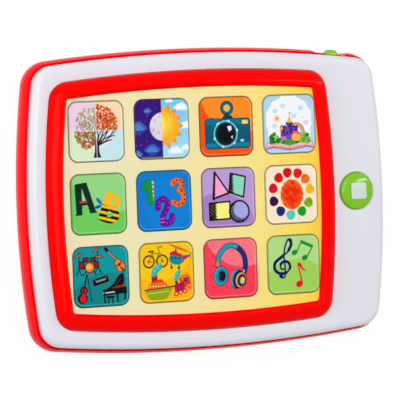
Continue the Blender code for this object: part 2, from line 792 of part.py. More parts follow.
DOOR_MARGIN = 4.0 * MM
DOOR_LOW_X = WELL_X - WELL_HALF_X - DOOR_MARGIN
DOOR_HIGH_X = WELL_X + WELL_HALF_X + DOOR_END
DOOR_HALF_Y = WELL_HALF_Y + DOOR_MARGIN
DOOR_SCREW_X = DOOR_HIGH_X - 4.2 * MM
DOOR_SCREW_TIP = SEAT_Z + 4.2 * MM
DOOR_CORNER = 3.0 * MM
TAB_HALF = 4.0 * MM
TAB_REACH = 3.2 * MM
TAB_Y = 14.0 * MM


def door_plate(shrink, z):
    """A plate with rounded corners that fills the door's recess, less a gap all round."""
    half_x = (DOOR_HIGH_X - DOOR_LOW_X) / 2 - shrink
    half_y = DOOR_HALF_Y - shrink
    plate = loft([rounded(half_x, half_y, DOOR_CORNER - shrink, height) for height in z], "plate")
    return moved(plate, Matrix.Translation(((DOOR_LOW_X + DOOR_HIGH_X) / 2, WELL_Y, 0)))


def well_walls():
    """The compartment's walls and roof, the door's seat and the boss for its screw."""
    seat = box(
        (DOOR_LOW_X - 2 * MM, DOOR_HIGH_X + 2 * MM),
        (WELL_Y - DOOR_HALF_Y - 2 * MM, WELL_Y + DOOR_HALF_Y + 2 * MM),
        (0.5 * FLOOR_TOP, SEAT_Z + 1.4 * MM),
    )
    roof = WELL_TOP + 1.1 * MM
    boss = rod(DOOR_SCREW_X, WELL_Y, 3.2 * MM, (SEAT_Z, DOOR_SCREW_TIP + 1.5 * MM))
    return [seat, well_box(WELL_WALL, (SEAT_Z, roof)), boss]


def well_hollows():
    """The compartment, the door's recess, the tabs' notches and the contacts' slots."""
    hollows = [well_box(0, (0.5 * SEAT_Z, WELL_TOP)), door_plate(0, (-MM, SEAT_Z))]
    bore_top = DOOR_SCREW_TIP + 0.5 * MM
    hollows.append(rod(DOOR_SCREW_X, WELL_Y, SCREW_R + 0.45 * MM, (SEAT_Z - MM, bore_top), sides=12))
    for side in (-1, 1):
        middle = WELL_Y + side * TAB_Y
        hollows.append(
            box(
                (DOOR_LOW_X - 6 * MM, DOOR_LOW_X + DOOR_MARGIN + 0.5 * MM),
                (middle - TAB_HALF - 0.5 * MM, middle + TAB_HALF + 0.5 * MM),
                (FLOOR_TOP, SEAT_Z + 2.2 * MM),
            )
        )
    for end, row in ((1, 1), (-1, -1)):
        y = WELL_Y + row * CELL_PITCH
        wall_x = WELL_X + end * (WELL_HALF_X + WELL_WALL / 2)
        hollows.append(
            box(
                (wall_x - 1.5 * MM, wall_x + 1.5 * MM),
                (y - 2 * MM, y + 2 * MM),
                (CELL_Z - MM, CELL_Z + MM),
            )
        )
    return hollows


def battery_door():
    """The back door: two tabs that hook under the floor and a captive screw at the other end."""
    low_x = DOOR_LOW_X + GAP
    hinge = Vector((low_x, WELL_Y, DOOR_RAISED))
    back = Matrix.Translation(-hinge)
    door = part("battery_door", moved(door_plate(GAP, (DOOR_RAISED, DOOR_TOP)), back), RED, hinge)
    tabs = []
    for side in (-1, 1):
        y = (WELL_Y + side * TAB_Y - TAB_HALF, WELL_Y + side * TAB_Y + TAB_HALF)
        tab_low = FLOOR_TOP + GAP
        riser = box((low_x, low_x + 1.5 * MM), y, (DOOR_TOP - 0.5 * MM, tab_low + 1.6 * MM))
        hook = box((DOOR_LOW_X - TAB_REACH, low_x + MM), y, (tab_low + 0.2 * MM, tab_low + 1.4 * MM))
        tabs += [moved(riser, back), moved(hook, back)]
    joined(door, tabs, "tab")
    screw_hole = rod(DOOR_SCREW_X, WELL_Y, SCREW_R + GAP, (-MM, DOOR_TOP + MM), sides=12)
    sink = rod(DOOR_SCREW_X, WELL_Y, 2.8 * MM, (-MM, DOOR_RAISED + 1.3 * MM))
    cut(door, [moved(screw_hole, back), moved(sink, back)], "screw_hole")
    seat = DOOR_RAISED + 1.3 * MM - GAP
    screw("battery_door_screw", DOOR_SCREW_X, WELL_Y, seat, DOOR_SCREW_TIP, 2.4 * MM, 0.9 * MM)
    return door


def cell_rows():
    """Each cell's number, its row and which way its nub points along X."""
    return ((1, 1, 1), (2, 0, -1), (3, -1, 1))


def along_x(mesh, flip, x, y, z):
    """Lays an upright mesh along X, pointing to +X or -X, and puts its foot at a point."""
    turn = Matrix.Rotation(flip * math.pi / 2, 4, "Y")
    return moved(mesh, Matrix.Translation((x, y, z)) @ turn)


def cells():
    """Three AA cells, side by side, the middle one turned round."""
    nub_tip = WELL_HALF_X - GAP - CONTACT_THICK - GAP
    foot = nub_tip - NUB_LENGTH - CELL_LENGTH
    for number, row, way in cell_rows():
        y = WELL_Y + row * CELL_PITCH
        x = WELL_X + way * foot
        body = along_x(rod(0, 0, CELL_R, (0, CELL_LENGTH), sides=20), way, 0, 0, 0)
        cell = part(f"cell_{number}", body, CELL, (x, y, CELL_Z))
        nub = rod(0, 0, NUB_R, (CELL_LENGTH - MM, CELL_LENGTH + NUB_LENGTH), sides=12)
        joined(cell, [along_x(nub, way, 0, 0, 0)], "nub")


def spring_points(way, x, y):
    """A cone of two and a half turns, from its wide foot on the plate to the cell."""
    points = []
    turns, per_turn = 2.5, 10
    count = int(turns * per_turn)
    wire = 0.4 * MM
    length = SPRING_LENGTH - GAP - wire
    for i in range(count + 1):
        share = i / count
        angle = 2 * math.pi * i / per_turn
        radius = 5.0 * MM - 1.8 * MM * share
        points.append(
            (x + way * length * share, y + radius * math.cos(angle), CELL_Z + radius * math.sin(angle))
        )
    return points


def contact(name, end, rows, spring_row=None, tab_row=None):
    """A contact plate at one end of the compartment, with its spring and its solder tab."""
    outer = WELL_X + end * (WELL_HALF_X - GAP)
    inner = outer - end * CONTACT_THICK
    ys = [WELL_Y + row * CELL_PITCH for row in rows]
    half = 5.6 * MM
    plate = box(
        (min(outer, inner), max(outer, inner)),
        (min(ys) - half, max(ys) + half),
        (CELL_Z - half, CELL_Z + half),
    )
    made = part(name, plate, STEEL)
    extra = []
    if spring_row is not None:
        foot = inner + end * 0.1 * MM
        extra.append(tube("spring", spring_points(-end, foot, WELL_Y + spring_row * CELL_PITCH), 0.4 * MM))
    if tab_row is not None:
        y = WELL_Y + tab_row * CELL_PITCH
        tip = WELL_X + end * (WELL_HALF_X + WELL_WALL + 2.0 * MM)
        reach = (min(inner, tip), max(inner, tip)) if end > 0 else (tip, inner)
        extra.append(box(reach, (y - 1.6 * MM, y + 1.6 * MM), (CELL_Z - 0.25 * MM, CELL_Z + 0.25 * MM)))
    joined(made, extra, "fitting")


def contacts():
    """The four contacts that put the three cells in series."""
    contact("contact_positive", 1, (1,), tab_row=1)
    contact("contact_link_left", -1, (0, 1), spring_row=1)
    contact("contact_link_right", 1, (-1, 0), spring_row=0)
    contact("contact_negative", -1, (-1,), spring_row=-1, tab_row=-1)


# Loudspeaker

SPEAKER_SEAT_Z = FLOOR_TOP
FLANGE_TOP = SPEAKER_SEAT_Z + GAP + 1.0 * MM
SPEAKER_SCREW_R = SPEAKER_R + 3.6 * MM


def speaker_screw_places():
    """Two screws, on either side of the loudspeaker."""
    aside = SPEAKER_SCREW_R * 0.7071
    return [(SPEAKER_X + side * aside, SPEAKER_Y + side * aside) for side in (-1, 1)]


def speaker_seat():
    """The bosses of the two screws that hold the loudspeaker down."""
    seat = []
    for x, y in speaker_screw_places():
        seat.append(rod(x, y, 2.6 * MM, (0.5 * FLOOR_TOP, FLANGE_TOP), sides=12))
    return seat


def speaker_slots():
    """Slots through the floor, each as long as the round grille allows, and the screws' bores."""
    slots = []
    grille_r = SPEAKER_R - 4 * MM
    pitch = 4.5 * MM
    for step in range(-3, 4):
        offset = step * pitch
        half = math.sqrt(grille_r**2 - offset**2)
        slots.append(
            box(
                (SPEAKER_X - half, SPEAKER_X + half),
                (SPEAKER_Y + offset - MM, SPEAKER_Y + offset + MM),
                (-MM, FLOOR_TOP + MM),
            )
        )
    for x, y in speaker_screw_places():
        slots.append(rod(x, y, 1.0 * MM + GAP, (0.6 * FLOOR_TOP, FLANGE_TOP + MM), sides=12))
    return slots


def speaker():
    """A 40 mm loudspeaker that faces the grille: basket, paper cone, magnet and two screws."""
    r = SPEAKER_R
    low = SPEAKER_SEAT_Z + GAP
    at = (SPEAKER_X, SPEAKER_Y, 0)
    basket = [
        (0.45 * r, low + 7.2 * MM),
        (0.8 * r, low + 5.0 * MM),
        (0.93 * r, FLANGE_TOP),
        (r, FLANGE_TOP),
        (r, low),
        (0.88 * r, low),
        (0.88 * r, FLANGE_TOP),
        (0.75 * r, low + 4.3 * MM),
        (0.42 * r, low + 6.2 * MM),
        (0.2 * r, low + 6.2 * MM),
        (0.2 * r, low + 7.2 * MM),
    ]
    turned("speaker_frame", basket, STEEL, at)
    cone = [
        (0, low + 4.6 * MM),
        (0.32 * r, low + 4.2 * MM),
        (0.62 * r, low + 2.4 * MM),
        (0.76 * r, low + 1.2 * MM),
        (0.86 * r, low + 0.7 * MM),
        (0.86 * r, low + 0.2 * MM),
        (0.75 * r, low + 0.7 * MM),
        (0.3 * r, low + 3.2 * MM),
        (0, low + 3.0 * MM),
    ]
    turned("speaker_cone", cone, CONE, at)
    magnet = rod(0, 0, 0.55 * r, (low + 7.2 * MM + GAP, low + 11.2 * MM), sides=24)
    part("speaker_magnet", magnet, FERRITE, at)
    for number, (x, y) in enumerate(speaker_screw_places(), 1):
        disc = rod(0, 0, 4.2 * MM, (0, 1.5 * MM), sides=12)
        head = part(f"speaker_screw_{number}", disc, STEEL, (x, y, FLANGE_TOP + GAP))
        shank_low = FLOOR_TOP - FLANGE_TOP - GAP - 0.3 * MM
        joined(head, [rod(0, 0, 1.0 * MM, (shank_low, MM), sides=12)], "shank")


# Wires


def smooth_path(corners, per_span=4):
    """Points on a Catmull-Rom curve through the corners."""
    ends = [corners[0], *corners, corners[-1]]
    path = []
    for a, b, c, d in zip(ends, ends[1:], ends[2:], ends[3:]):
        a, b, c, d = (Vector(p) for p in (a, b, c, d))
        for i in range(per_span):
            t = i / per_span
            early = 2 * b + (c - a) * t + (2 * a - 5 * b + 4 * c - d) * t**2
            path.append(0.5 * (early + (3 * b - a - 3 * c + d) * t**3))
    path.append(Vector(corners[-1]))
    return path


def wires():
    """Leads from the battery contacts, the loudspeaker and the power switch to the board."""
    wire_r = 0.6 * MM
    board = BOARD_BOTTOM - GAP
    tab = WELL_HALF_X + WELL_WALL + 2.0 * MM + GAP
    plus_y = WELL_Y + CELL_PITCH
    minus_y = WELL_Y - CELL_PITCH
    switch_place = slider_frame()
    routes = {
        "battery_lead_positive": (
            RED_WIRE,
            [
                (WELL_X + tab, plus_y, CELL_Z),
                (WELL_X + tab + 3 * MM, plus_y + MM, CELL_Z),
                (WELL_X + tab + 6 * MM, plus_y + 4 * MM, CELL_Z + 3 * MM),
                (WELL_X + tab + 7 * MM, plus_y + 5 * MM, board),
            ],
        ),
        "battery_lead_negative": (
            BLACK_WIRE,
            [
                (WELL_X - tab, minus_y, CELL_Z),
                (WELL_X - tab - 3 * MM, minus_y - MM, CELL_Z),
                (WELL_X - tab - 6 * MM, minus_y - 4 * MM, CELL_Z + 3 * MM),
                (WELL_X - tab - 7 * MM, minus_y - 5 * MM, board),
            ],
        ),
    }
    for number, side in enumerate((-1, 1), 1):
        x = SPEAKER_X - 0.55 * SPEAKER_R - GAP - wire_r
        y = SPEAKER_Y + side * 2.5 * MM
        magnet_mid = SPEAKER_SEAT_Z + 9.5 * MM
        routes[f"speaker_lead_{number}"] = (
            (BLACK_WIRE, RED_WIRE)[number - 1],
            [
                (x, y, magnet_mid),
                (x - 3 * MM, y, magnet_mid + 1.5 * MM),
                (x - 7 * MM, y + side * MM, magnet_mid + 4.5 * MM),
                (x - 8 * MM, y + side * MM, board),
            ],
        )
        back = SWITCH_FRONT - 5 * MM - GAP - wire_r
        start = switch_place @ Vector((-4 * MM + side * 2.5 * MM, back, 0))
        corner_x = KEYS_X + BOARD_HALF_X - 6 * MM + side * 1.5 * MM
        corner_y = BOARD_HALF_Y - 4 * MM
        routes[f"switch_lead_{number}"] = (
            BLUE_WIRE,
            [
                start,
                (start.x - 2 * MM, start.y - 2 * MM, start.z + 0.5 * MM),
                ((start.x + corner_x) / 2, (start.y + corner_y) / 2, start.z + MM),
                (corner_x + 2 * MM, corner_y + 2 * MM, start.z + 1.5 * MM),
                (corner_x, corner_y, board),
            ],
        )
    for name, (colour, corners) in routes.items():
        part(name, tube(name, smooth_path(corners), wire_r), colour)


# The tablet, from the back to the front

rear_shell()
cells()
contacts()
battery_door()
speaker()
main_board()
rubber_keypad()
for key_name, key_x, key_y in key_places():
    picture_key(key_name, key_x, key_y)
key_panel()
screen_bezel()
front_frame()
home_button()
power_slider()
screws()
wires()
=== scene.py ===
import math

import bmesh
import bpy
import numpy as np
from mathutils import Matrix, Vector


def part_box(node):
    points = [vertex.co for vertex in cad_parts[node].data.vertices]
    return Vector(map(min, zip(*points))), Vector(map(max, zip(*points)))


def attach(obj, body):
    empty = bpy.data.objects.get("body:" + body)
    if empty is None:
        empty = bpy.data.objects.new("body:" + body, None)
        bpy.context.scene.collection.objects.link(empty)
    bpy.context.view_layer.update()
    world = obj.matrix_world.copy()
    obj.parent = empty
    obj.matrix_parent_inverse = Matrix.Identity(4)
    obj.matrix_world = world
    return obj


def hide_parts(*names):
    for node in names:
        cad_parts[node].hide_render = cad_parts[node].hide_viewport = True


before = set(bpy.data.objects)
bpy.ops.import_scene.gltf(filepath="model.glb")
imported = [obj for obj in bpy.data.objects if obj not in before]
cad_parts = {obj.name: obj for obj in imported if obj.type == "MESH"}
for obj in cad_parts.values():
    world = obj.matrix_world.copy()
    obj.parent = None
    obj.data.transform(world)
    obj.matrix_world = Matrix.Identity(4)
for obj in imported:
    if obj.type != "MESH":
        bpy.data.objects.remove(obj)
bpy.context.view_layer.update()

MM = 0.001
GAP = 0.3 * MM

# --- The room ---------------------------------------------------------------------------
# The tablet lies on its back on a white sweep, under a broad overhead softbox, a narrow strip
# that draws a thin line along the bezel's crest, and a soft fill from the left.

scene = bpy.context.scene
scene.view_settings.view_transform = "Standard"


def corners(node):
    """A CAD node's lowest and highest corner."""
    low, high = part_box(node)
    return Vector(low), Vector(high)


def srgb(red, green, blue):
    """A colour written 0 to 255, as the linear values that a shader takes."""
    out = []
    for value in (red, green, blue):
        value /= 255
        out.append(value / 12.92 if value <= 0.04045 else ((value + 0.055) / 1.055) ** 2.4)
    return tuple(out)


keys_low, keys_high = corners("key_band")[0], corners("key_castle")[1]
KEYS_MIDDLE = Vector(((keys_low.x + keys_high.x) / 2, (keys_low.y + keys_high.y) / 2, keys_high.z))

toward_camera = Vector((-0.4362, 0.0371, 0.8991)).normalized()
camera_lean = math.radians(-1.93)
camera_aim = KEYS_MIDDLE + Vector((1.67, -0.65, 0.82)) * MM
camera_far = 1.647
lens = bpy.data.cameras.new("camera")
lens.lens = 252.05
lens.sensor_width = 36
lens.clip_start = 0.05
camera = bpy.data.objects.new("camera", lens)
scene.collection.objects.link(camera)
level_right = Vector((0, 1, 0)).cross(toward_camera).normalized()
level_up = toward_camera.cross(level_right)
camera_right = level_right * math.cos(camera_lean) + level_up * math.sin(camera_lean)
camera_up = toward_camera.cross(camera_right)
camera.matrix_world = (
    Matrix.Translation(camera_aim + toward_camera * camera_far)
    @ Matrix((camera_right, camera_up, toward_camera)).transposed().to_4x4()
)
scene.camera = camera


def softbox(name, place, target, width, height, watts):
    """A rectangular lamp that faces a target."""
    lamp = bpy.data.lights.new(name, "AREA")
    lamp.shape = "RECTANGLE"
    lamp.size = width
    lamp.size_y = height
    lamp.energy = watts
    obj = bpy.data.objects.new(name, lamp)
    scene.collection.objects.link(obj)
    way = (Vector(target) - Vector(place)).normalized()
    obj.location = place
    obj.rotation_euler = way.to_track_quat("-Z", "Y").to_euler()
    return obj


softbox("overhead_softbox", (-0.42, 0.25, 1.2), (0.0, 0.0, 0.0), 0.9, 0.9, 8.6)
softbox("crest_strip", (1.0, 0.35, 1.0), (0.0, 0.0, 0.02), 0.10, 0.9, 4.2)
left_fill = softbox("left_fill", (-1.3, 0.35, 0.35), (0.0, 0.0, 0.0), 0.6, 0.6, 4.2)
left_fill.visible_glossy = False


def seen_directly(tree):
    """One where a ray comes from the camera, a mirror-like surface or clear glass."""
    path = tree.nodes.new("ShaderNodeLightPath")
    total = path.outputs["Is Camera Ray"]
    for output in ("Is Glossy Ray", "Is Transmission Ray"):
        add = tree.nodes.new("ShaderNodeMath")
        add.operation = "MAXIMUM"
        tree.links.new(total, add.inputs[0])
        tree.links.new(path.outputs[output], add.inputs[1])
        total = add.outputs[0]
    return total


world = bpy.data.worlds.new("white_room")
world.use_nodes = True
scene.world = world
sky = world.node_tree
backdrop_light = sky.nodes["Background"]
backdrop_light.inputs["Color"].default_value = (0.95, 0.97, 1.0, 1)
backdrop_light.inputs["Strength"].default_value = 0.36
white_light = sky.nodes.new("ShaderNodeBackground")
white_light.inputs["Color"].default_value = (1, 1, 1, 1)
white_light.inputs["Strength"].default_value = 1.0
sky_mix = sky.nodes.new("ShaderNodeMixShader")
sky.links.new(seen_directly(sky), sky_mix.inputs[0])
sky.links.new(backdrop_light.outputs[0], sky_mix.inputs[1])
sky.links.new(white_light.outputs[0], sky_mix.inputs[2])
sky.links.new(sky_mix.outputs[0], sky.nodes["World Output"].inputs["Surface"])

FLOOR_HALF = 3.0
floor_bm = bmesh.new()
bmesh.ops.create_grid(floor_bm, x_segments=2, y_segments=2, size=FLOOR_HALF)
floor_mesh = bpy.data.meshes.new("floor")
floor_bm.to_mesh(floor_mesh)
floor_bm.free()
floor = bpy.data.objects.new("floor", floor_mesh)
floor.location.z = -0.1 * MM
scene.collection.objects.link(floor)
paper = bpy.data.materials.new("white_sweep")
paper.use_nodes = True
tree = paper.node_tree
matt = tree.nodes["Principled BSDF"]
matt.inputs["Base Color"].default_value = (0.9, 0.9, 0.9, 1)
matt.inputs["Roughness"].default_value = 0.9
matt.inputs["Specular IOR Level"].default_value = 0.0
bright = tree.nodes.new("ShaderNodeEmission")
bright.inputs["Strength"].default_value = 1.03
share = tree.nodes.new("ShaderNodeMath")
share.operation = "MULTIPLY"
share.inputs[1].default_value = 0.9
tree.links.new(seen_directly(tree), share.inputs[0])
floor_mix = tree.nodes.new("ShaderNodeMixShader")
tree.links.new(share.outputs[0], floor_mix.inputs[0])
tree.links.new(matt.outputs[0], floor_mix.inputs[1])
tree.links.new(bright.outputs[0], floor_mix.inputs[2])
tree.links.new(floor_mix.outputs[0], tree.nodes["Material Output"].inputs["Surface"])
floor_mesh.materials.append(paper)

# --- Rear shell -------------------------------------------------------------------------
# The back half of the case, a red tray moulded in glossy plastic. Its wall bulges out past the
# white frame, it is scooped away at the power slider, and its floor carries the grille, the
# battery compartment and six screw bosses.


def group_socket(group, name, kind, way, value=None):
    """A named input or output of a node group."""
    made = group.interface.new_socket(name=name, in_out=way, socket_type=kind)
    if value is not None:
        made.default_value = value


def moulded_group():
    """Moulded plastic: faint flow clouds in the colour, hazy patches and a fine orange peel."""
    group = bpy.data.node_groups.new("moulded_plastic", "ShaderNodeTree")
    group_socket(group, "Colour", "NodeSocketColor", "INPUT", (0.8, 0.8, 0.8, 1))
    group_socket(group, "Clouding", "NodeSocketFloat", "INPUT", 0.05)
    group_socket(group, "Gloss Roughness", "NodeSocketFloat", "INPUT", 0.2)
    group_socket(group, "Haze", "NodeSocketFloat", "INPUT", 0.1)
    group_socket(group, "Colour", "NodeSocketColor", "OUTPUT")
    group_socket(group, "Roughness", "NodeSocketFloat", "OUTPUT")
    group_socket(group, "Height", "NodeSocketFloat", "OUTPUT")
    nodes, links = group.nodes, group.links
    given = nodes.new("NodeGroupInput")
    result = nodes.new("NodeGroupOutput")
    place = nodes.new("ShaderNodeTexCoord")

    def noise(scale, detail):
        made = nodes.new("ShaderNodeTexNoise")
        made.inputs["Scale"].default_value = scale
        made.inputs["Detail"].default_value = detail
        links.new(place.outputs["Object"], made.inputs["Vector"])
        return made.outputs["Fac"]

    def maths(operation, first, second, third=None):
        made = nodes.new("ShaderNodeMath")
        made.operation = operation
        for socket, value in zip(made.inputs, (first, second, third)):
            if value is None:
                continue
            if isinstance(value, (int, float)):
                socket.default_value = value
            else:
                links.new(value, socket)
        return made.outputs[0]

    flow = maths("SUBTRACT", noise(28, 3), 0.5)
    shade = maths("MULTIPLY_ADD", flow, given.outputs["Clouding"], 1.0)
    tint = nodes.new("ShaderNodeVectorMath")
    tint.operation = "SCALE"
    links.new(given.outputs["Colour"], tint.inputs[0])
    links.new(shade, tint.inputs["Scale"])
    links.new(tint.outputs[0], result.inputs["Colour"])
    haze = maths("MULTIPLY", maths("SUBTRACT", noise(90, 5), 0.35), given.outputs["Haze"])
    links.new(maths("ADD", given.outputs["Gloss Roughness"], haze), result.inputs["Roughness"])
    fine = maths("MULTIPLY", noise(1400, 2), 0.3)
    links.new(maths("ADD", noise(420, 2), fine), result.inputs["Height"])
    return group


MOULDED = moulded_group()


def plastic(name, colour, roughness=0.22, clouding=0.05, haze=0.12, peel=0.05, specular=0.5, coat=0.0):
    """A moulded plastic of one colour."""
    made = bpy.data.materials.new(name)
    made.use_nodes = True
    tree = made.node_tree
    shader = tree.nodes["Principled BSDF"]
    shader.inputs["Specular IOR Level"].default_value = specular
    shader.inputs["Coat Weight"].default_value = coat
    shader.inputs["Coat Roughness"].default_value = 0.05
    skin = tree.nodes.new("ShaderNodeGroup")
    skin.node_tree = MOULDED
    skin.inputs["Colour"].default_value = (*colour, 1)
    skin.inputs["Clouding"].default_value = clouding
    skin.inputs["Gloss Roughness"].default_value = roughness
    skin.inputs["Haze"].default_value = haze
    bump = tree.nodes.new("ShaderNodeBump")
    bump.inputs["Strength"].default_value = peel
    bump.inputs["Distance"].default_value = 0.0004
    tree.links.new(skin.outputs["Colour"], shader.inputs["Base Color"])
    tree.links.new(skin.outputs["Roughness"], shader.inputs["Roughness"])
    tree.links.new(skin.outputs["Height"], bump.inputs["Height"])
    tree.links.new(bump.outputs["Normal"], shader.inputs["Normal"])
    return made


def arc(x, y, radius, start, end, steps):
    """Points along an arc, both ends included."""
    turns = [start + (end - start) * i / steps for i in range(steps + 1)]
    return [(x + radius * math.cos(turn), y + radius * math.sin(turn)) for turn in turns]


class Bowed:
    """A rounded rectangle whose four sides bow out as arcs."""

    def __init__(
        self, half_x, half_y, side_bow, top_bow, corner, centre=(0.0, 0.0), taper=0.0, steps=(14, 12, 18)
    ):
        self.half = (half_x, half_y)
        self.bows = (side_bow, top_bow)
        self.corner = corner
        self.centre = centre
        self.taper = taper  # how much taller it grows per metre to the right
        self.steps = steps

    def inset(self, d):
        """The same outline a distance d inside."""
        half_x, half_y = (h - d for h in self.half)
        side, top = (b - d for b in self.bows)
        corner = max(self.corner - d, 1.2 * MM)
        return Bowed(half_x, half_y, side, top, corner, self.centre, self.taper, self.steps)

    def ring(self, z):
        """The outline's points at height z, anticlockwise from the middle of the +X side."""
        side_x = self.half[0] - self.bows[0]
        top_y = self.half[1] - self.bows[1]
        a, b = self.bows[0] - self.corner, self.bows[1] - self.corner
        apart = math.hypot(side_x, top_y)
        along = (a * a - b * b + apart * apart) / (2 * apart)
        aside = math.sqrt(a * a - along * along)
        line = Vector((-side_x, top_y)) / apart
        foot = Vector((side_x, 0)) + line * along
        across = Vector((-line.y, line.x)) * aside
        middle = max(foot + across, foot - across, key=lambda p: p.x + p.y)
        start = math.atan2(middle.y, middle.x - side_x)
        end = math.atan2(middle.y - top_y, middle.x)
        quarter = arc(side_x, 0, self.bows[0], 0, start, self.steps[0])[:-1]
        quarter += arc(middle.x, middle.y, self.corner, start, end, self.steps[1])[:-1]
        quarter += arc(0, top_y, self.bows[1], end, math.pi / 2, self.steps[2])
        upper = quarter + [(-x, y) for x, y in reversed(quarter[:-1])]
        whole = upper + [(x, -y) for x, y in reversed(upper[1:-1])]
        return [(self.centre[0] + x, self.centre[1] + y * (1 + self.taper * x), z) for x, y in whole]


def finished(bm, name):
    """Turns a bmesh into a mesh with its faces pointing out."""
    bmesh.ops.recalc_face_normals(bm, faces=bm.faces)
    mesh = bpy.data.meshes.new(name)
    bm.to_mesh(mesh)
    bm.free()
    return mesh


def loft(rings, name, closed=False):
    """Skins a row of like rings, capped at both ends, or joined end to end if closed."""
    bm = bmesh.new()
    rows = [[bm.verts.new(p) for p in ring] for ring in rings]
    pairs = list(zip(rows, rows[1:]))
    if closed:
        pairs.append((rows[-1], rows[0]))
    count = len(rings[0])
    for low, high in pairs:
        for i in range(count):
            j = (i + 1) % count
            bm.faces.new((low[i], low[j], high[j], high[i]))
    if not closed:
        bm.faces.new(rows[0][::-1])
        bm.faces.new(rows[-1])
    return finished(bm, name)


def rounded(half_x, half_y, corner, z, steps=8):
    """A rounded rectangle's points at height z, anticlockwise."""
    points = []
    for turn, (sx, sy) in enumerate(((1, 1), (-1, 1), (-1, -1), (1, -1))):
        quarter = turn * math.pi / 2
        x, y = sx * (half_x - corner), sy * (half_y - corner)
        points += arc(x, y, corner, quarter, quarter + math.pi / 2, steps)
    return [(x, y, z) for x, y in points]


def block(x, y, z, bevel=0.0):
    """A box between the two limits given on each axis, its edges rounded if asked."""
    bm = bmesh.new()
    bmesh.ops.create_cube(bm, size=1)
    bmesh.ops.scale(bm, vec=[high - low for low, high in (x, y, z)], verts=bm.verts)
    bmesh.ops.translate(bm, vec=[(low + high) / 2 for low, high in (x, y, z)], verts=bm.verts)
    if bevel:
        bmesh.ops.bevel(bm, geom=list(bm.edges), offset=bevel, segments=3, profile=0.5, affect="EDGES")
    return finished(bm, "block")


def rod(x, y, radius, z, sides=32, top_radius=None):
    """An upright cylinder or cone between the two heights z."""
    bm = bmesh.new()
    bmesh.ops.create_cone(
        bm,
        cap_ends=True,
        segments=sides,
        radius1=radius,
        radius2=radius if top_radius is None else top_radius,
        depth=z[1] - z[0],
        matrix=Matrix.Translation((x, y, (z[0] + z[1]) / 2)),
    )
    return finished(bm, "rod")


def moved(mesh, matrix):
    """The mesh after a rotation or a shift."""
    mesh.transform(matrix)
    return mesh


def heap(meshes):
    """Several meshes in one, for a single Boolean."""
    bm = bmesh.new()
    for mesh in meshes:
        bm.from_mesh(mesh)
    return finished(bm, "heap")


def piece(name, mesh, material, body, *nodes, slot=None, sharp=35):
    """A named piece that rides on a body and stands for the CAD nodes given."""
    obj = bpy.data.objects.new(name, mesh)
    mesh.name = name
    mesh.materials.clear()
    mesh.materials.append(material)
    mesh.shade_smooth()
    mesh.set_sharp_from_angle(angle=math.radians(sharp))
    scene.collection.objects.link(obj)
    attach(obj, body)
    if nodes:
        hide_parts(*nodes)
    return obj


def carved(mesh, steps):
    """The mesh after a row of Booleans, each an operation and a mesh."""
    work = bpy.data.objects.new("work", mesh)
    scene.collection.objects.link(work)
    tools = []
    for operation, tool_mesh in steps:
        tool = bpy.data.objects.new("tool", tool_mesh)
        scene.collection.objects.link(tool)
        tools.append(tool)
        boolean = work.modifiers.new("boolean", "BOOLEAN")
        boolean.operation = operation
        boolean.solver = "EXACT"
        boolean.object = tool
    graph = bpy.context.evaluated_depsgraph_get()
    result = bpy.data.meshes.new_from_object(work.evaluated_get(graph))
    for obj in (work, *tools):
        bpy.data.objects.remove(obj)
    return result


RED = plastic("red_plastic", srgb(255, 0, 16), roughness=0.2, clouding=0.04, specular=0.12)

tray_high = corners("rear_shell")[1]
frame_low, frame_high = corners("front_frame")
FACE_Z = frame_high.z
RIM_Z = frame_low.z - GAP
BULGE = 3.1 * MM
CASE_MIDDLE = (0.8 * MM, -0.75 * MM)
FRAME = Bowed(frame_high.x - CASE_MIDDLE[0], frame_high.y, 515 * MM, 920 * MM, 13.0 * MM, CASE_MIDDLE)
TRAY = FRAME.inset(-BULGE)
TRAY.steps = (14, 14, 72)  # finer along the top edge, where the slider's recess is scooped
WALL = 2.2 * MM
FLOOR_TOP = 2.0 * MM

slider_low, slider_high = corners("power_slider")
SLIDER_Z = (slider_low.z + slider_high.z) / 2
SLIDER_X = 88.5 * MM
RECESS_DEPTH = 2.6 * MM
slider_lean = math.asin(SLIDER_X / TRAY.bows[1])
slider_edge = tray_high.y - TRAY.bows[1] + TRAY.bows[1] * math.cos(slider_lean)
SLIDER_PLACE = Matrix.Translation((SLIDER_X, slider_edge, SLIDER_Z)) @ Matrix.Rotation(-slider_lean, 4, "Z")
SLIDER_OUT = (SLIDER_PLACE.to_3x3() @ Vector((0, 1, 0))).normalized()
SLIDER_HOME = SLIDER_PLACE.inverted()


def smoothstep(low, high, value):
    """Zero below low, one above high and a soft ramp between."""
    share = min(max((value - low) / (high - low), 0), 1)
    return share * share * (3 - 2 * share)


def scooped(point, inset):
    """The point of the wall, pushed in where the slider's recess is scooped."""
    local = SLIDER_HOME @ Vector(point)
    if point[1] < 0 or abs(local.x) > 20 * MM:
        return point
    across = 1 - smoothstep(8.4 * MM, 13.0 * MM, abs(local.x + 1.75 * MM))
    upward = smoothstep(-9.0 * MM, -4.2 * MM, local.z)
    deeper = max(RECESS_DEPTH * across * upward - inset, 0)
    return tuple(Vector(point) - SLIDER_OUT * deeper)


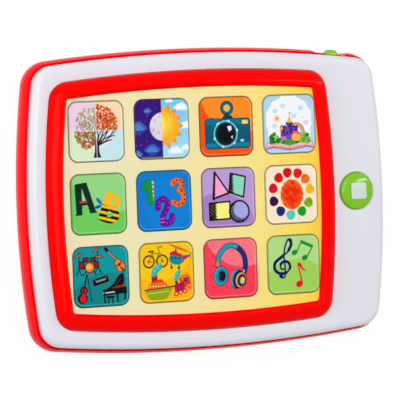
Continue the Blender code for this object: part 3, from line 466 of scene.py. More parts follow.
def tray_mesh():
    """The tray's skin: up the bulging outside, over the rim and tongue, and down inside."""
    heights = np.array((0.0, 0.3, 0.8, 1.6, 2.6, 5.4, 9.0, 13.0, 16.5, 19.0, 19.7)) * MM
    insets = np.array((9.5, 8.3, 7.0, 5.5, 4.2, 1.9, 0.5, 0.0, 0.4, 1.45, 1.85)) * MM
    fine = np.concatenate((heights[:4], np.linspace(2.6 * MM, 19.4 * MM, 30)))
    curve = np.interp(fine, heights, insets)
    kernel = np.array((0.25, 0.5, 0.25))
    for _ in range(6):
        curve[1:-1] = np.convolve(curve, kernel, "valid")
    rings = []
    for z, d in zip(fine, curve):
        rings.append([scooped(p, d) for p in TRAY.inset(d).ring(z)])
    for z, d in ((RIM_Z - 0.25 * MM, BULGE - 0.3 * MM), (RIM_Z, BULGE)):
        rings.append([scooped(p, d) for p in TRAY.inset(d).ring(z)])
    tongue = BULGE + WALL + GAP
    rings += [TRAY.inset(tongue).ring(z) for z in (RIM_Z, tray_high.z)]
    rings += [TRAY.inset(tongue + 1.4 * MM).ring(z) for z in (tray_high.z, RIM_Z - 2.5 * MM)]
    for z, outside, wall in ((14.5, 0.2, WALL), (9.0, 0.5, WALL), (5.4, 1.9, 2.5 * MM), (2.0, 5.2, 3.8 * MM)):
        rings.append([scooped(p, outside * MM) for p in TRAY.inset(outside * MM + wall).ring(z * MM)])
    return loft(rings, "rear_shell")


door_low, door_high = corners("battery_door")
cell_low, cell_high = corners("cell_2")
first_cell_high = corners("cell_1")[1]
door_screw_low, door_screw_high = corners("battery_door_screw")
DOOR_SCREW = (door_screw_low + door_screw_high) / 2
WELL_X = (cell_low.x + cell_high.x) / 2
WELL_Y = (cell_low.y + cell_high.y) / 2
contact_low = corners("contact_link_left")[0]
WELL_HALF_X = WELL_X - contact_low.x + GAP
WELL_HALF_Y = first_cell_high.y - WELL_Y + 0.8 * MM
CELL_Z = (cell_high.z + cell_low.z) / 2
SEAT_Z = cell_low.z - 0.15 * MM
DOOR_MARGIN = 4.0 * MM
DOOR_X = (WELL_X - WELL_HALF_X - DOOR_MARGIN, WELL_X + WELL_HALF_X + 9.5 * MM)
DOOR_HALF_Y = WELL_HALF_Y + DOOR_MARGIN


def plan(grow, z):
    """A block of the battery compartment's plan, grown all round."""
    return block(
        (WELL_X - WELL_HALF_X - grow, WELL_X + WELL_HALF_X + grow),
        (WELL_Y - WELL_HALF_Y - grow, WELL_Y + WELL_HALF_Y + grow),
        z,
    )


def door_shape(shrink, heights, corner=3.0 * MM):
    """The door's rounded plate; each height has its own extra inset."""
    half_x = (DOOR_X[1] - DOOR_X[0]) / 2 - shrink
    half_y = DOOR_HALF_Y - shrink
    rings = [rounded(half_x - d, half_y - d, corner - shrink - d * 0.5, z) for z, d in heights]
    return moved(loft(rings, "door"), Matrix.Translation((sum(DOOR_X) / 2, WELL_Y, 0)))


case_screws = [corners(f"case_screw_{n}") for n in range(1, 7)]
CASE_SCREW_XY = [((a.x + b.x) / 2, (a.y + b.y) / 2) for a, b in case_screws]
speaker_low, speaker_high = corners("speaker_frame")
SPEAKER = (speaker_low + speaker_high) / 2
SPEAKER_R = (speaker_high.x - speaker_low.x) / 2
SPEAKER_SCREW_XY = [
    tuple(((corners(f"speaker_screw_{n}")[0] + corners(f"speaker_screw_{n}")[1]) / 2)[:2]) for n in (1, 2)
]
board_low, board_high = corners("main_board")
home_low, home_high = corners("home_button")
HOME = (home_low + home_high) / 2
SCREW_SEAT = 9.0 * MM

tray_bosses = [rod(x, y, 5.0 * MM, (MM, RIM_Z - 1.3 * MM)) for x, y in CASE_SCREW_XY]
tray_bosses.append(rod(HOME.x, 0, 3.0 * MM, (MM, board_low.z - GAP)))
tray_bosses += [rod(x, y, 2.6 * MM, (MM, 3.3 * MM)) for x, y in SPEAKER_SCREW_XY]
door_seat = block(
    (DOOR_X[0] - 2 * MM, DOOR_X[1] + 2 * MM),
    (WELL_Y - DOOR_HALF_Y - 2 * MM, WELL_Y + DOOR_HALF_Y + 2 * MM),
    (MM, SEAT_Z + 1.4 * MM),
)
door_boss = rod(DOOR_SCREW.x, WELL_Y, 3.2 * MM, (SEAT_Z, door_screw_high.z + 1.5 * MM))
screw_holes = [rod(x, y, 3.3 * MM, (-MM, SCREW_SEAT)) for x, y in CASE_SCREW_XY]
shank_holes = [rod(x, y, 1.5 * MM, (SCREW_SEAT - MM, RIM_Z), sides=16) for x, y in CASE_SCREW_XY]
shank_holes.append(rod(DOOR_SCREW.x, WELL_Y, 1.65 * MM, (SEAT_Z - MM, door_screw_high.z + 0.5 * MM)))

grille = []
grille_r = SPEAKER_R - 4 * MM
for step in range(-3, 4):
    across = step * 4.5 * MM
    half = math.sqrt(grille_r**2 - across**2)
    slit = loft([rounded(half, MM, 0.95 * MM, z, steps=6) for z in (-MM, FLOOR_TOP + MM)], "slit")
    grille.append(moved(slit, Matrix.Translation((SPEAKER.x, SPEAKER.y + across, 0))))

TAB_Y = 14.0 * MM
tab_notches = [
    block(
        (DOOR_X[0] - 6 * MM, DOOR_X[0] + DOOR_MARGIN + 0.5 * MM),
        (WELL_Y + side * TAB_Y - 4.5 * MM, WELL_Y + side * TAB_Y + 4.5 * MM),
        (FLOOR_TOP, SEAT_Z + 2.2 * MM),
    )
    for side in (-1, 1)
]
contact_slots = []
for end in (-1, 1):
    x, y = WELL_X + end * (WELL_HALF_X + 0.75 * MM), WELL_Y + end * 15.2 * MM
    contact_slots.append(
        block((x - 1.5 * MM, x + 1.5 * MM), (y - 2 * MM, y + 2 * MM), (CELL_Z - MM, CELL_Z + MM))
    )
wall_in = -RECESS_DEPTH - WALL
pocket_z = (-5 * MM, tray_high.z - SLIDER_Z + MM)
slider_pocket = moved(block((-14 * MM, 10 * MM), (wall_in - 3 * MM, wall_in), pocket_z), SLIDER_PLACE)
slider_slot = moved(
    block((-6.3 * MM, 2.3 * MM), (wall_in - MM, 2 * MM), (-2.1 * MM, 2.1 * MM), bevel=0.4 * MM), SLIDER_PLACE
)
rear_shell = carved(
    tray_mesh(),
    [
        ("UNION", heap(tray_bosses)),
        ("UNION", door_seat),
        ("UNION", plan(1.5 * MM, (SEAT_Z, cell_high.z + 1.4 * MM))),
        ("UNION", door_boss),
        ("DIFFERENCE", heap(screw_holes)),
        ("DIFFERENCE", heap(shank_holes)),
        ("DIFFERENCE", plan(0, (MM, cell_high.z + 0.3 * MM))),
        ("DIFFERENCE", door_shape(0, ((-MM, 0), (SEAT_Z, 0)))),
        ("DIFFERENCE", heap(grille)),
        ("DIFFERENCE", heap(tab_notches)),
        ("DIFFERENCE", heap(contact_slots)),
        ("DIFFERENCE", slider_pocket),
        ("DIFFERENCE", slider_slot),
    ],
)
piece("rear_shell_moulding", rear_shell, RED, "case", "rear_shell", slot="red_plastic", sharp=40)

# --- Front frame ------------------------------------------------------------------------
# The white front half of the case, with a rolled outer edge and a flat grip at the right. A
# ledge inside its opening carries the panel and the bezel, and bosses take the case screws.

WHITE = plastic("white_plastic", srgb(229, 229, 236), roughness=0.3, clouding=0.02, haze=0.1, specular=0.45)

bezel_low, bezel_high = corners("screen_bezel")
BEZEL_X = (bezel_low.x + bezel_high.x) / 2
SEAM = Bowed(
    (bezel_high.x - bezel_low.x) / 2 + GAP,
    bezel_high.y + GAP + 0.7 * MM,
    511 * MM,
    882 * MM,
    12.2 * MM,
    (BEZEL_X, CASE_MIDDLE[1]),
    taper=0.22,
)
LEDGE_TOP = FACE_Z - 2.0 * MM
LEDGE_BOTTOM = LEDGE_TOP - 2.0 * MM
LEDGE_REACH = 6.0 * MM
EDGE_ROLL = 3.8 * MM


def rolled_edge():
    """The frame's outer edge: an upright skirt and a quarter roll into the face."""
    rings = [FRAME.inset(0.25 * MM).ring(frame_low.z), FRAME.ring(frame_low.z + 0.3 * MM)]
    for i in range(13):
        turn = math.pi / 2 * i / 12
        inset = EDGE_ROLL * (1 - math.cos(turn))
        rings.append(FRAME.inset(inset).ring(FACE_Z - EDGE_ROLL * 0.9 * (1 - math.sin(turn))))
    return rings


under = FACE_Z - WALL
frame_rings = rolled_edge() + [
    SEAM.inset(-0.35 * MM).ring(FACE_Z),
    SEAM.inset(-0.1 * MM).ring(FACE_Z - 0.1 * MM),
    SEAM.ring(FACE_Z - 0.35 * MM),
    SEAM.ring(LEDGE_TOP),
    SEAM.inset(LEDGE_REACH).ring(LEDGE_TOP),
    SEAM.inset(LEDGE_REACH).ring(LEDGE_BOTTOM),
    SEAM.inset(-WALL).ring(LEDGE_BOTTOM),
    SEAM.inset(-WALL).ring(under),
    FRAME.inset(WALL).ring(under),
    FRAME.inset(WALL).ring(frame_low.z),
]
SEAM_RIGHT = BEZEL_X + SEAM.half[0]
frame_bosses = [
    rod(x, y, 3.2 * MM, (RIM_Z - MM, (LEDGE_TOP if x < SEAM_RIGHT else FACE_Z) - 0.5 * MM))
    for x, y in CASE_SCREW_XY
]
home_r = 11.15 * MM
home_hole = rod(HOME.x, 0, home_r + GAP, (under - MM, FACE_Z + MM), sides=128)
home_chamfer = rod(HOME.x, 0, home_r + GAP, (FACE_Z - 0.4 * MM, FACE_Z + 0.2 * MM), 128, home_r + 0.9 * MM)
boss_holes = [rod(x, y, 1.5 * MM, (RIM_Z - 2 * MM, LEDGE_TOP - MM)) for x, y in CASE_SCREW_XY]
front_frame = carved(
    loft(frame_rings, "front_frame", closed=True),
    [
        ("UNION", heap(frame_bosses)),
        ("DIFFERENCE", home_hole),
        ("DIFFERENCE", home_chamfer),
        ("DIFFERENCE", heap(boss_holes)),
    ],
)
piece("front_frame_moulding", front_frame, WHITE, "case", "front_frame", slot="white_plastic", sharp=40)

# --- Screen bezel -----------------------------------------------------------------------
# A raised red ring, moulded in the same glossy plastic. It swells from its seam to a crest and
# drops at a steep slope to the panel, which it clamps on the frame's ledge.

BEZEL_RED = plastic(
    "bezel_red", srgb(255, 0, 0), roughness=0.08, clouding=0.02, haze=0.04, peel=0.02, specular=0.045
)

panel_low, panel_high = corners("key_panel")
PANEL_TOP = panel_high.z
CREST_Z = bezel_high.z
BEZEL_WIDTH = 10.3 * MM
CREST_IN = BEZEL_WIDTH - 2.4 * MM
PANEL_INSET = 4.3 * MM
over = PANEL_TOP + GAP

bezel_section = [(GAP, bezel_low.z), (GAP, FACE_Z - 0.2 * MM)]
for i in range(15):
    turn = math.pi / 2 * i / 14
    bezel_section.append(
        (GAP + (CREST_IN - 0.5 * MM) * (1 - math.cos(turn)), FACE_Z + (CREST_Z - FACE_Z) * math.sin(turn))
    )
bezel_section += [
    (CREST_IN + 0.15 * MM, CREST_Z - 0.06 * MM),
    (CREST_IN + 0.45 * MM, CREST_Z - 0.28 * MM),
    (BEZEL_WIDTH - 0.35 * MM, over + 0.55 * MM),
    (BEZEL_WIDTH - 0.05 * MM, over + 0.2 * MM),
    (BEZEL_WIDTH, over),
    (PANEL_INSET - GAP, over),
    (PANEL_INSET - GAP, bezel_low.z),
]
bezel_mesh = loft([SEAM.inset(d).ring(z) for d, z in bezel_section], "bezel", closed=True)
piece("screen_bezel_moulding", bezel_mesh, BEZEL_RED, "case", "screen_bezel", slot="red_plastic", sharp=50)

# --- Key panel --------------------------------------------------------------------------
# The sheet under the bezel with a window for each key, printed in a fade from cream at the left
# to yellow at the right and gloss coated. Posts below it carry the circuit board.

KEY_ROWS = (
    ("tree", "sky", "camera", "castle"),
    ("letters", "numbers", "shapes", "colours"),
    ("band", "traffic", "headphones", "music"),
)
KEY_NAMES = [name for row in KEY_ROWS for name in row]


def key_middle(name):
    """The middle of a key, at its face."""
    low, high = corners(f"key_{name}")
    return Vector(((low.x + high.x) / 2, (low.y + high.y) / 2, high.z))


FADE = (
    (0.0, srgb(240, 231, 190)),
    (0.35, srgb(242, 231, 178)),
    (0.7, srgb(252, 230, 138)),
    (0.9, srgb(253, 222, 80)),
    (1.0, srgb(252, 208, 50)),
)


def faded_print():
    """A printed fade along X under a clear coat, with a faint print grain."""
    made = bpy.data.materials.new("panel_print")
    made.use_nodes = True
    tree = made.node_tree
    shader = tree.nodes["Principled BSDF"]
    shader.inputs["Coat Weight"].default_value = 0.35
    shader.inputs["Coat Roughness"].default_value = 0.04
    shader.inputs["Specular IOR Level"].default_value = 0.1
    place = tree.nodes.new("ShaderNodeTexCoord")
    parts = tree.nodes.new("ShaderNodeSeparateXYZ")
    tree.links.new(place.outputs["Object"], parts.inputs[0])
    span = tree.nodes.new("ShaderNodeMapRange")
    span.inputs["From Min"].default_value = panel_low.x
    span.inputs["From Max"].default_value = panel_high.x
    tree.links.new(parts.outputs["X"], span.inputs["Value"])
    ramp = tree.nodes.new("ShaderNodeValToRGB")
    stops = ramp.color_ramp.elements
    stops[0].position, stops[1].position = FADE[0][0], FADE[-1][0]
    stops[0].color, stops[1].color = (*FADE[0][1], 1), (*FADE[-1][1], 1)
    for position, colour in FADE[1:-1]:
        stops.new(position).color = (*colour, 1)
    tree.links.new(span.outputs[0], ramp.inputs[0])
    skin = tree.nodes.new("ShaderNodeGroup")
    skin.node_tree = MOULDED
    skin.inputs["Clouding"].default_value = 0.03
    skin.inputs["Gloss Roughness"].default_value = 0.4
    skin.inputs["Haze"].default_value = 0.1
    tree.links.new(ramp.outputs["Color"], skin.inputs["Colour"])
    tree.links.new(skin.outputs["Colour"], shader.inputs["Base Color"])
    tree.links.new(skin.outputs["Roughness"], shader.inputs["Roughness"])
    return made


PANEL_PRINT = faded_print()
PANEL_THICK = 1.6 * MM
skirt_in = PANEL_INSET + 1.5 * MM
panel_rings = [
    SEAM.inset(skirt_in).ring(PANEL_TOP - PANEL_THICK),
    SEAM.inset(skirt_in).ring(LEDGE_TOP + GAP),
    SEAM.inset(PANEL_INSET).ring(LEDGE_TOP + GAP),
    SEAM.inset(PANEL_INSET).ring(PANEL_TOP),
]
key_low, key_high = corners("key_tree")
KEY_HALF = (key_high.x - key_low.x) / 2 - 1.2 * MM
KEY_CORNER = 5.5 * MM
windows = []
for name in KEY_NAMES:
    shift = Matrix.Translation((key_middle(name).x, key_middle(name).y, 0))
    half = KEY_HALF + GAP
    levels = (PANEL_TOP - PANEL_THICK - MM, PANEL_TOP + MM)
    windows.append(moved(loft([rounded(half, half, KEY_CORNER + GAP, z) for z in levels], "window"), shift))
board_screws = [corners(f"board_screw_{n}") for n in range(1, 5)]
POST_XY = [((a.x + b.x) / 2, (a.y + b.y) / 2) for a, b in board_screws]
posts = [rod(x, y, 2.4 * MM, (board_high.z + GAP, PANEL_TOP - MM)) for x, y in POST_XY]
post_holes = [rod(x, y, 1.5 * MM, (board_high.z - MM, PANEL_TOP - PANEL_THICK - MM)) for x, y in POST_XY]
panel_mesh = carved(
    loft(panel_rings, "key_panel"),
    [("UNION", heap(posts)), ("DIFFERENCE", heap(windows)), ("DIFFERENCE", heap(post_holes))],
)
piece("key_panel_sheet", panel_mesh, PANEL_PRINT, "case", "key_panel", slot="panel_yellow", sharp=40)

# --- Picture keys -----------------------------------------------------------------------
# Twelve square keys with rounded corners, each a moulding with a flange under the panel and a
# plunger. The pictures are printed on the faces and sealed under a thick clear gloss.

FACE_RINGS = 64
SIDE_STEPS = 56
CORNER_STEPS = 24
FACE_EDGE = 0.55 * MM
INK_EDGE = 0.3
INK_CONTRAST = 1.06
INK_BLACK = 0.008


def key_outline(half, corner):
    """A key's outline with evenly spaced points along its sides and corners."""
    points = []
    straight = half - corner
    for turn in range(4):
        quarter = turn * math.pi / 2
        run = np.linspace(-straight, straight, SIDE_STEPS, endpoint=False)
        side = np.column_stack((np.full(SIDE_STEPS, half), run))
        angles = np.linspace(0, math.pi / 2, CORNER_STEPS, endpoint=False)
        bend = np.column_stack((straight + corner * np.cos(angles), straight + corner * np.sin(angles)))
        both = np.concatenate((side, bend))
        spin = np.array(((math.cos(quarter), math.sin(quarter)), (-math.sin(quarter), math.cos(quarter))))
        points.append(both @ spin)
    return np.concatenate(points)


def smooth(points, closed=False, steps=10):
    """A Catmull-Rom curve through a few points."""
    points = [np.array(p, float) for p in points]
    if closed:
        points = [points[-1], *points, points[0], points[1]]
    else:
        points = [points[0], *points, points[-1]]
    path = []
    for a, b, c, d in zip(points, points[1:], points[2:], points[3:]):
        square, cube = 2 * a - 5 * b + 4 * c - d, 3 * b - a - 3 * c + d
        for i in range(steps):
            t = i / steps
            path.append(0.5 * (2 * b + (c - a) * t + square * t**2 + cube * t**3))
    if not closed:
        path.append(points[-2])
    return path


class Picture:
    """Ink on one key's face, with the painted edge shade and painted edge highlight that make_key adds, laid
    on in millimetres from the face's middle.
    """

    def __init__(self, places, ground):
        self.x, self.y = places[:, 0], places[:, 1]
        self.ink_and_painted_edge_light = np.tile(np.array(ground, float), (len(places), 1))

    def lay(self, inside, colour, strength=1.0):
        """Inks the face where inside, the distance within a shape's edge, is positive."""
        share = np.clip(inside / INK_EDGE + 0.5, 0, 1) * strength
        self.ink_and_painted_edge_light += share[:, None] * (np.array(colour, float) - self.ink_and_painted_edge_light)

    def local(self, x, y, turn):
        """Places as seen from a point, turned by an angle in degrees."""
        angle = math.radians(turn)
        dx, dy = self.x - x, self.y - y
        return dx * math.cos(angle) + dy * math.sin(angle), dy * math.cos(angle) - dx * math.sin(angle)

    def disc(self, x, y, r, colour, ry=None, turn=0, strength=1.0):
        """A filled circle or ellipse."""
        ry = ry or r
        u, v = self.local(x, y, turn)
        inside = (1 - np.hypot(u / r, v / ry)) * min(r, ry)
        self.lay(inside, colour, strength)

    def ring(self, x, y, r, width, colour, ry=None, turn=0):
        """A circle's or ellipse's line."""
        ry = ry or r
        u, v = self.local(x, y, turn)
        away = np.abs(np.hypot(u / r, v / ry) - 1) * min(r, ry)
        self.lay(width / 2 - away, colour)

    def away(self, points, closed=False):
        """The distance to a line through points."""
        ends = list(points) + ([points[0]] if closed else [])
        least = np.full(len(self.x), 1e9)
        for a, b in zip(ends, ends[1:]):
            bx, by = b[0] - a[0], b[1] - a[1]
            long = max(bx * bx + by * by, 1e-9)
            t = np.clip(((self.x - a[0]) * bx + (self.y - a[1]) * by) / long, 0, 1)
            least = np.minimum(least, np.hypot(self.x - a[0] - t * bx, self.y - a[1] - t * by))
        return least

    def line(self, points, width, colour, closed=False):
        """A line of even width."""
        self.lay(width / 2 - self.away(points, closed), colour)

    def within(self, points):
        """The distance inside a closed outline, negative outside."""
        inside = np.zeros(len(self.x), bool)
        ends = list(points) + [points[0]]
        for a, b in zip(ends, ends[1:]):
            crosses = (a[1] > self.y) != (b[1] > self.y)
            rise = b[1] - a[1] if abs(b[1] - a[1]) > 1e-9 else 1e-9
            inside ^= crosses & (self.x < (b[0] - a[0]) * (self.y - a[1]) / rise + a[0])
        away = self.away(points, closed=True)
        return np.where(inside, away, -away)

    def patch(self, points, colour, outline=None, width=0.4, strength=1.0):
        """A filled outline, with a line round it if asked."""
        depth = self.within(points)
        self.lay(depth, colour, strength)
        if outline is not None:
            self.lay(width / 2 - np.abs(depth), outline)

    def slab(self, x, y, half_x, half_y, colour, corner=0.0, turn=0, outline=None, width=0.4):
        """A rectangle, its corners rounded if asked."""
        u, v = self.local(x, y, turn)
        qx, qy = np.abs(u) - half_x + corner, np.abs(v) - half_y + corner
        out = np.hypot(np.maximum(qx, 0), np.maximum(qy, 0)) + np.minimum(np.maximum(qx, qy), 0) - corner
        self.lay(-out, colour)
        if outline is not None:
            self.lay(width / 2 - np.abs(out), outline)

    def border(self, half, corner):
        """The distance inside the edge of a face with rounded corners."""
        qx, qy = np.abs(self.x) - half + corner, np.abs(self.y) - half + corner
        return corner - np.hypot(np.maximum(qx, 0), np.maximum(qy, 0)) - np.minimum(np.maximum(qx, qy), 0)

    def cloud(self, x, y, size, colour, strength=1.0):
        """A flat-bottomed cloud of five puffs."""
        puffs = (
            (-1.0, 0.0, 0.42), (-0.45, 0.3, 0.52), (0.15, 0.42, 0.58), (0.7, 0.15, 0.48), (1.1, -0.05, 0.34)
        )
        dx, dy = self.x - x, self.y - y
        inside = np.minimum(0.22 * size - np.abs(dy + 0.16 * size), 1.2 * size - np.abs(dx))
        for px, py, r in puffs:
            inside = np.maximum(inside, r * size - np.hypot(dx - px * size, dy - py * size))
        self.lay(inside, colour, strength)

    def mottle(self, inside, colour, strength, seed, grain=0.9):
        """Paint-like blotches inside a shape."""
        chance = np.random.default_rng(seed)
        waves = np.zeros(len(self.x))
        for _ in range(7):
            kx, ky = chance.normal(0, grain, 2)
            waves += np.sin(self.x * kx + self.y * ky + chance.uniform(0, 6.3))
        spots = np.clip(waves / 3, 0, 1)
        self.lay(np.minimum(inside, 1), colour, strength * spots)


def print_tree(p):
    """A tree through the year: blossom, autumn leaves, summer leaves and a bare side."""
    left, top = p.x < 0, p.y > 0.4
    p.ink_and_painted_edge_light[left & top] = (236, 208, 228)
    p.ink_and_painted_edge_light[~left & top] = (250, 216, 178)
    p.ink_and_painted_edge_light[left & ~top] = (216, 234, 196)
    p.ink_and_painted_edge_light[~left & ~top] = (196, 226, 232)
    p.disc(0, 1.0, 11.0, (238, 236, 232), strength=0.55)
    chance = np.random.default_rng(4)
    bark = (44, 30, 36)
    twigs = []

    def branch(x, y, angle, length, width, depth):
        tip = (x + length * math.sin(angle), y + length * math.cos(angle))
        if math.hypot(tip[0], tip[1] - 2) > 13.2:
            return
        twigs.append(((x, y), tip, width))
        if depth == 0:
            return
        for side in (-1, 1):
            spread = chance.uniform(0.16, 0.4)
            branch(*tip, angle + side * spread, length * chance.uniform(0.66, 0.84), width * 0.62, depth - 1)

    boughs = (-1.05, 4.6), (-0.6, 5.2), (-0.2, 5.6), (0.2, 5.6), (0.55, 5.6), (0.85, 5.8), (1.15, 5.4)
    for angle, length in boughs:
        branch(0.1, -8.4, angle, length, 1.0, 4)
    left_bark = [(-2.2, -15.2), (-1.3, -11.5), (-1.0, -7.5), (0.1, -5.6)]
    p.patch(smooth(left_bark + [(1.4, -7.5), (1.5, -11.5), (2.6, -15.2)]), bark)
    for start, tip, width in twigs:
        p.line([start, tip], max(width, 0.3), bark if start[0] + tip[0] > 0 else (120, 96, 96))
    spring = (222, 140, 170), (150, 176, 100), (236, 200, 206), (112, 140, 80)
    autumn = (206, 58, 20), (226, 84, 26), (184, 40, 24), (240, 128, 44)
    summer = (78, 112, 40), (198, 44, 34), (140, 150, 54), (150, 96, 40)
    leaves = (
        (240, (-12.6, -0.4, 0.8, 13.6), 0.46, spring),
        (330, (0.4, 13.4, 1.0, 16.0), 0.55, autumn),
        (300, (-14.2, -0.5, -10.6, 0.2), 0.42, summer),
    )
    for count, (x0, x1, y0, y1), size, colours in leaves:
        for _ in range(count):
            x, y = chance.uniform(x0, x1), chance.uniform(y0, y1)
            if math.hypot(x / 14.0, (y - 1.2) / 14.4) < 1 and y > -10.4 + abs(x + 6.5) * 0.5:
                p.disc(x, y, chance.uniform(0.7, 1.15) * size, colours[chance.integers(4)])
    p.slab(0, 0, 0.22, 15.6, (214, 224, 232))
    p.slab(0, 0.4, 13.5, 0.16, (206, 222, 226))


def print_sky(p):
    """Half a night sky with a moon and half a day sky with a sun."""
    down = ((1 - p.y / 17.5) / 2)[:, None]
    night = np.array((62, 22, 118)) * (1 - down) + np.array((44, 34, 130)) * down
    day = np.array((112, 196, 240)) * (1 - down) + np.array((168, 220, 244)) * down
    p.ink_and_painted_edge_light[:] = np.where((p.x < 0)[:, None], night, day)
    for x, y, size in ((-15.5, 0.8, 4.2), (-6.6, -12.2, 3.6), (-9.0, 10.6, 1.9), (-16, -14.5, 2.4)):
        p.disc(x, y, size, (52, 84, 170), ry=size * 0.9, strength=0.75)
        p.cloud(x, y + 0.2, size * 0.95, (62, 106, 186), 0.8)
        p.cloud(x - 0.3, y - 0.3, size * 0.66, (88, 140, 208), 0.7)
    chance = np.random.default_rng(8)
    for _ in range(16):
        x, y = chance.uniform(-17, -0.8), chance.uniform(-15, 16.5)
        p.disc(x, y, chance.uniform(0.08, 0.22), (190, 180, 236))
    clouds = (12.6, 11.8, 3.4), (15.4, 1.0, 3.2), (8.4, -13.6, 3.6), (15.2, -12.0, 2.6), (5.0, 16.0, 2.0)
    for x, y, size in clouds:
        p.cloud(x, y, size, (214, 238, 250), 0.9)
        p.cloud(x, y + 0.4, size * 0.7, (246, 251, 255), 0.9)
    day_side = p.x >= 0
    far = np.hypot(p.x - 0.4, p.y - 1.4)
    turn = np.arctan2(p.y - 1.4, p.x - 0.4)
    wave = np.abs(((turn / (2 * math.pi) * 15 + 0.5) % 1) - 0.5) * 2
    reach = 9.4 + 4.3 * np.clip(1 - wave, 0, 1) ** 0.9
    p.lay(np.where(day_side, reach - far, -1.0), (248, 146, 24))
    p.lay(np.where(day_side, 9.0 + 2.2 * (1 - wave) - far, -1.0), (252, 176, 36))
    p.lay(np.where(day_side, 8.3 - far, -1.0), (252, 168, 36))
    glow = np.clip(1.25 - np.hypot(p.x + 0.6, p.y - 3.0) / 8.5, 0, 1)
    p.lay(np.where(day_side, np.minimum(8.3 - far, 1), -1.0), (255, 228, 84), glow)
    p.mottle(np.where(day_side, 8.2 - far, -1.0), (248, 160, 40), 0.3, 3, 0.5)
    moon = np.where(~day_side, 8.3 - far, -1.0)
    p.lay(moon, (224, 216, 226))
    p.mottle(moon, (184, 176, 196), 0.6, 5, 0.5)
    craters = (-4.4, 5.0, 1.0), (-2.4, -2.0, 1.3), (-5.8, -0.4, 0.8), (-1.8, 7.0, 0.7), (-4.6, -4.2, 0.6)
    for x, y, r in craters:
        p.disc(x, y, r, (186, 180, 198), strength=0.6)
    p.slab(0, -17.2, 17.5, 0.5, (206, 206, 70))


def print_camera(p):
    """A compact camera with a round flash on its top."""
    p.lay(26.0 - np.hypot(p.x - 9.0, p.y - 22.0), (252, 138, 40))
    body, dark, light = (0, 112, 146), (4, 62, 84), (96, 196, 208)
    p.disc(0.6, 10.8, 4.3, dark)
    p.disc(0.6, 10.8, 3.7, (14, 104, 130))
    p.disc(0.6, 10.8, 2.1, (248, 186, 60))
    p.slab(0.6, 6.0, 1.7, 1.7, dark)
    p.patch([(-3.4, 3.8), (-1.6, 6.4), (3.4, 6.4), (5.4, 3.8)], dark)
    p.slab(-9.4, 4.8, 1.4, 0.8, (40, 140, 160), corner=0.5)
    p.slab(0.8, -4.2, 15.0, 9.0, dark, corner=2.2)
    p.slab(0.8, -4.0, 14.4, 8.4, body, corner=2.0)
    p.slab(0.8, 0.4, 14.4, 0.5, (0, 84, 112))
    p.slab(0.8, -5.0, 14.4, 4.6, (2, 88, 118))
    p.slab(0.8, -11.2, 14.4, 1.2, (6, 124, 164))
    p.slab(12.3, 2.3, 2.3, 1.5, dark, corner=0.4)
    p.slab(12.3, 2.3, 2.0, 1.2, (252, 214, 92), corner=0.3)
    p.slab(10.2, -8.6, 1.1, 0.7, (190, 226, 232), corner=0.3)
    p.disc(-0.6, -4.4, 8.6, dark)
    p.disc(-0.6, -4.4, 8.1, light)
    for turn in (15, 75, 130, 200, 255, 315):
        angle = math.radians(turn)
        x, y = -0.6 + 7.9 * math.cos(angle), -4.4 + 7.9 * math.sin(angle)
        p.slab(x, y, 0.5, 0.9, (206, 232, 236), turn=turn)
    p.disc(-0.6, -4.4, 7.0, (8, 70, 92))
    p.disc(-0.4, -4.4, 6.2, (22, 28, 34))
    p.disc(-0.2, -4.4, 4.6, (6, 7, 12))
    p.disc(-1.2, -3.8, 3.2, (26, 28, 38), strength=0.7)
    p.patch([(0.4, 0.0), (3.0, 0.4), (3.6, -2.0), (1.6, -3.2)], (226, 236, 240))
    p.patch([(2.6, -6.2), (4.2, -5.4), (3.8, -7.6)], (206, 222, 230))


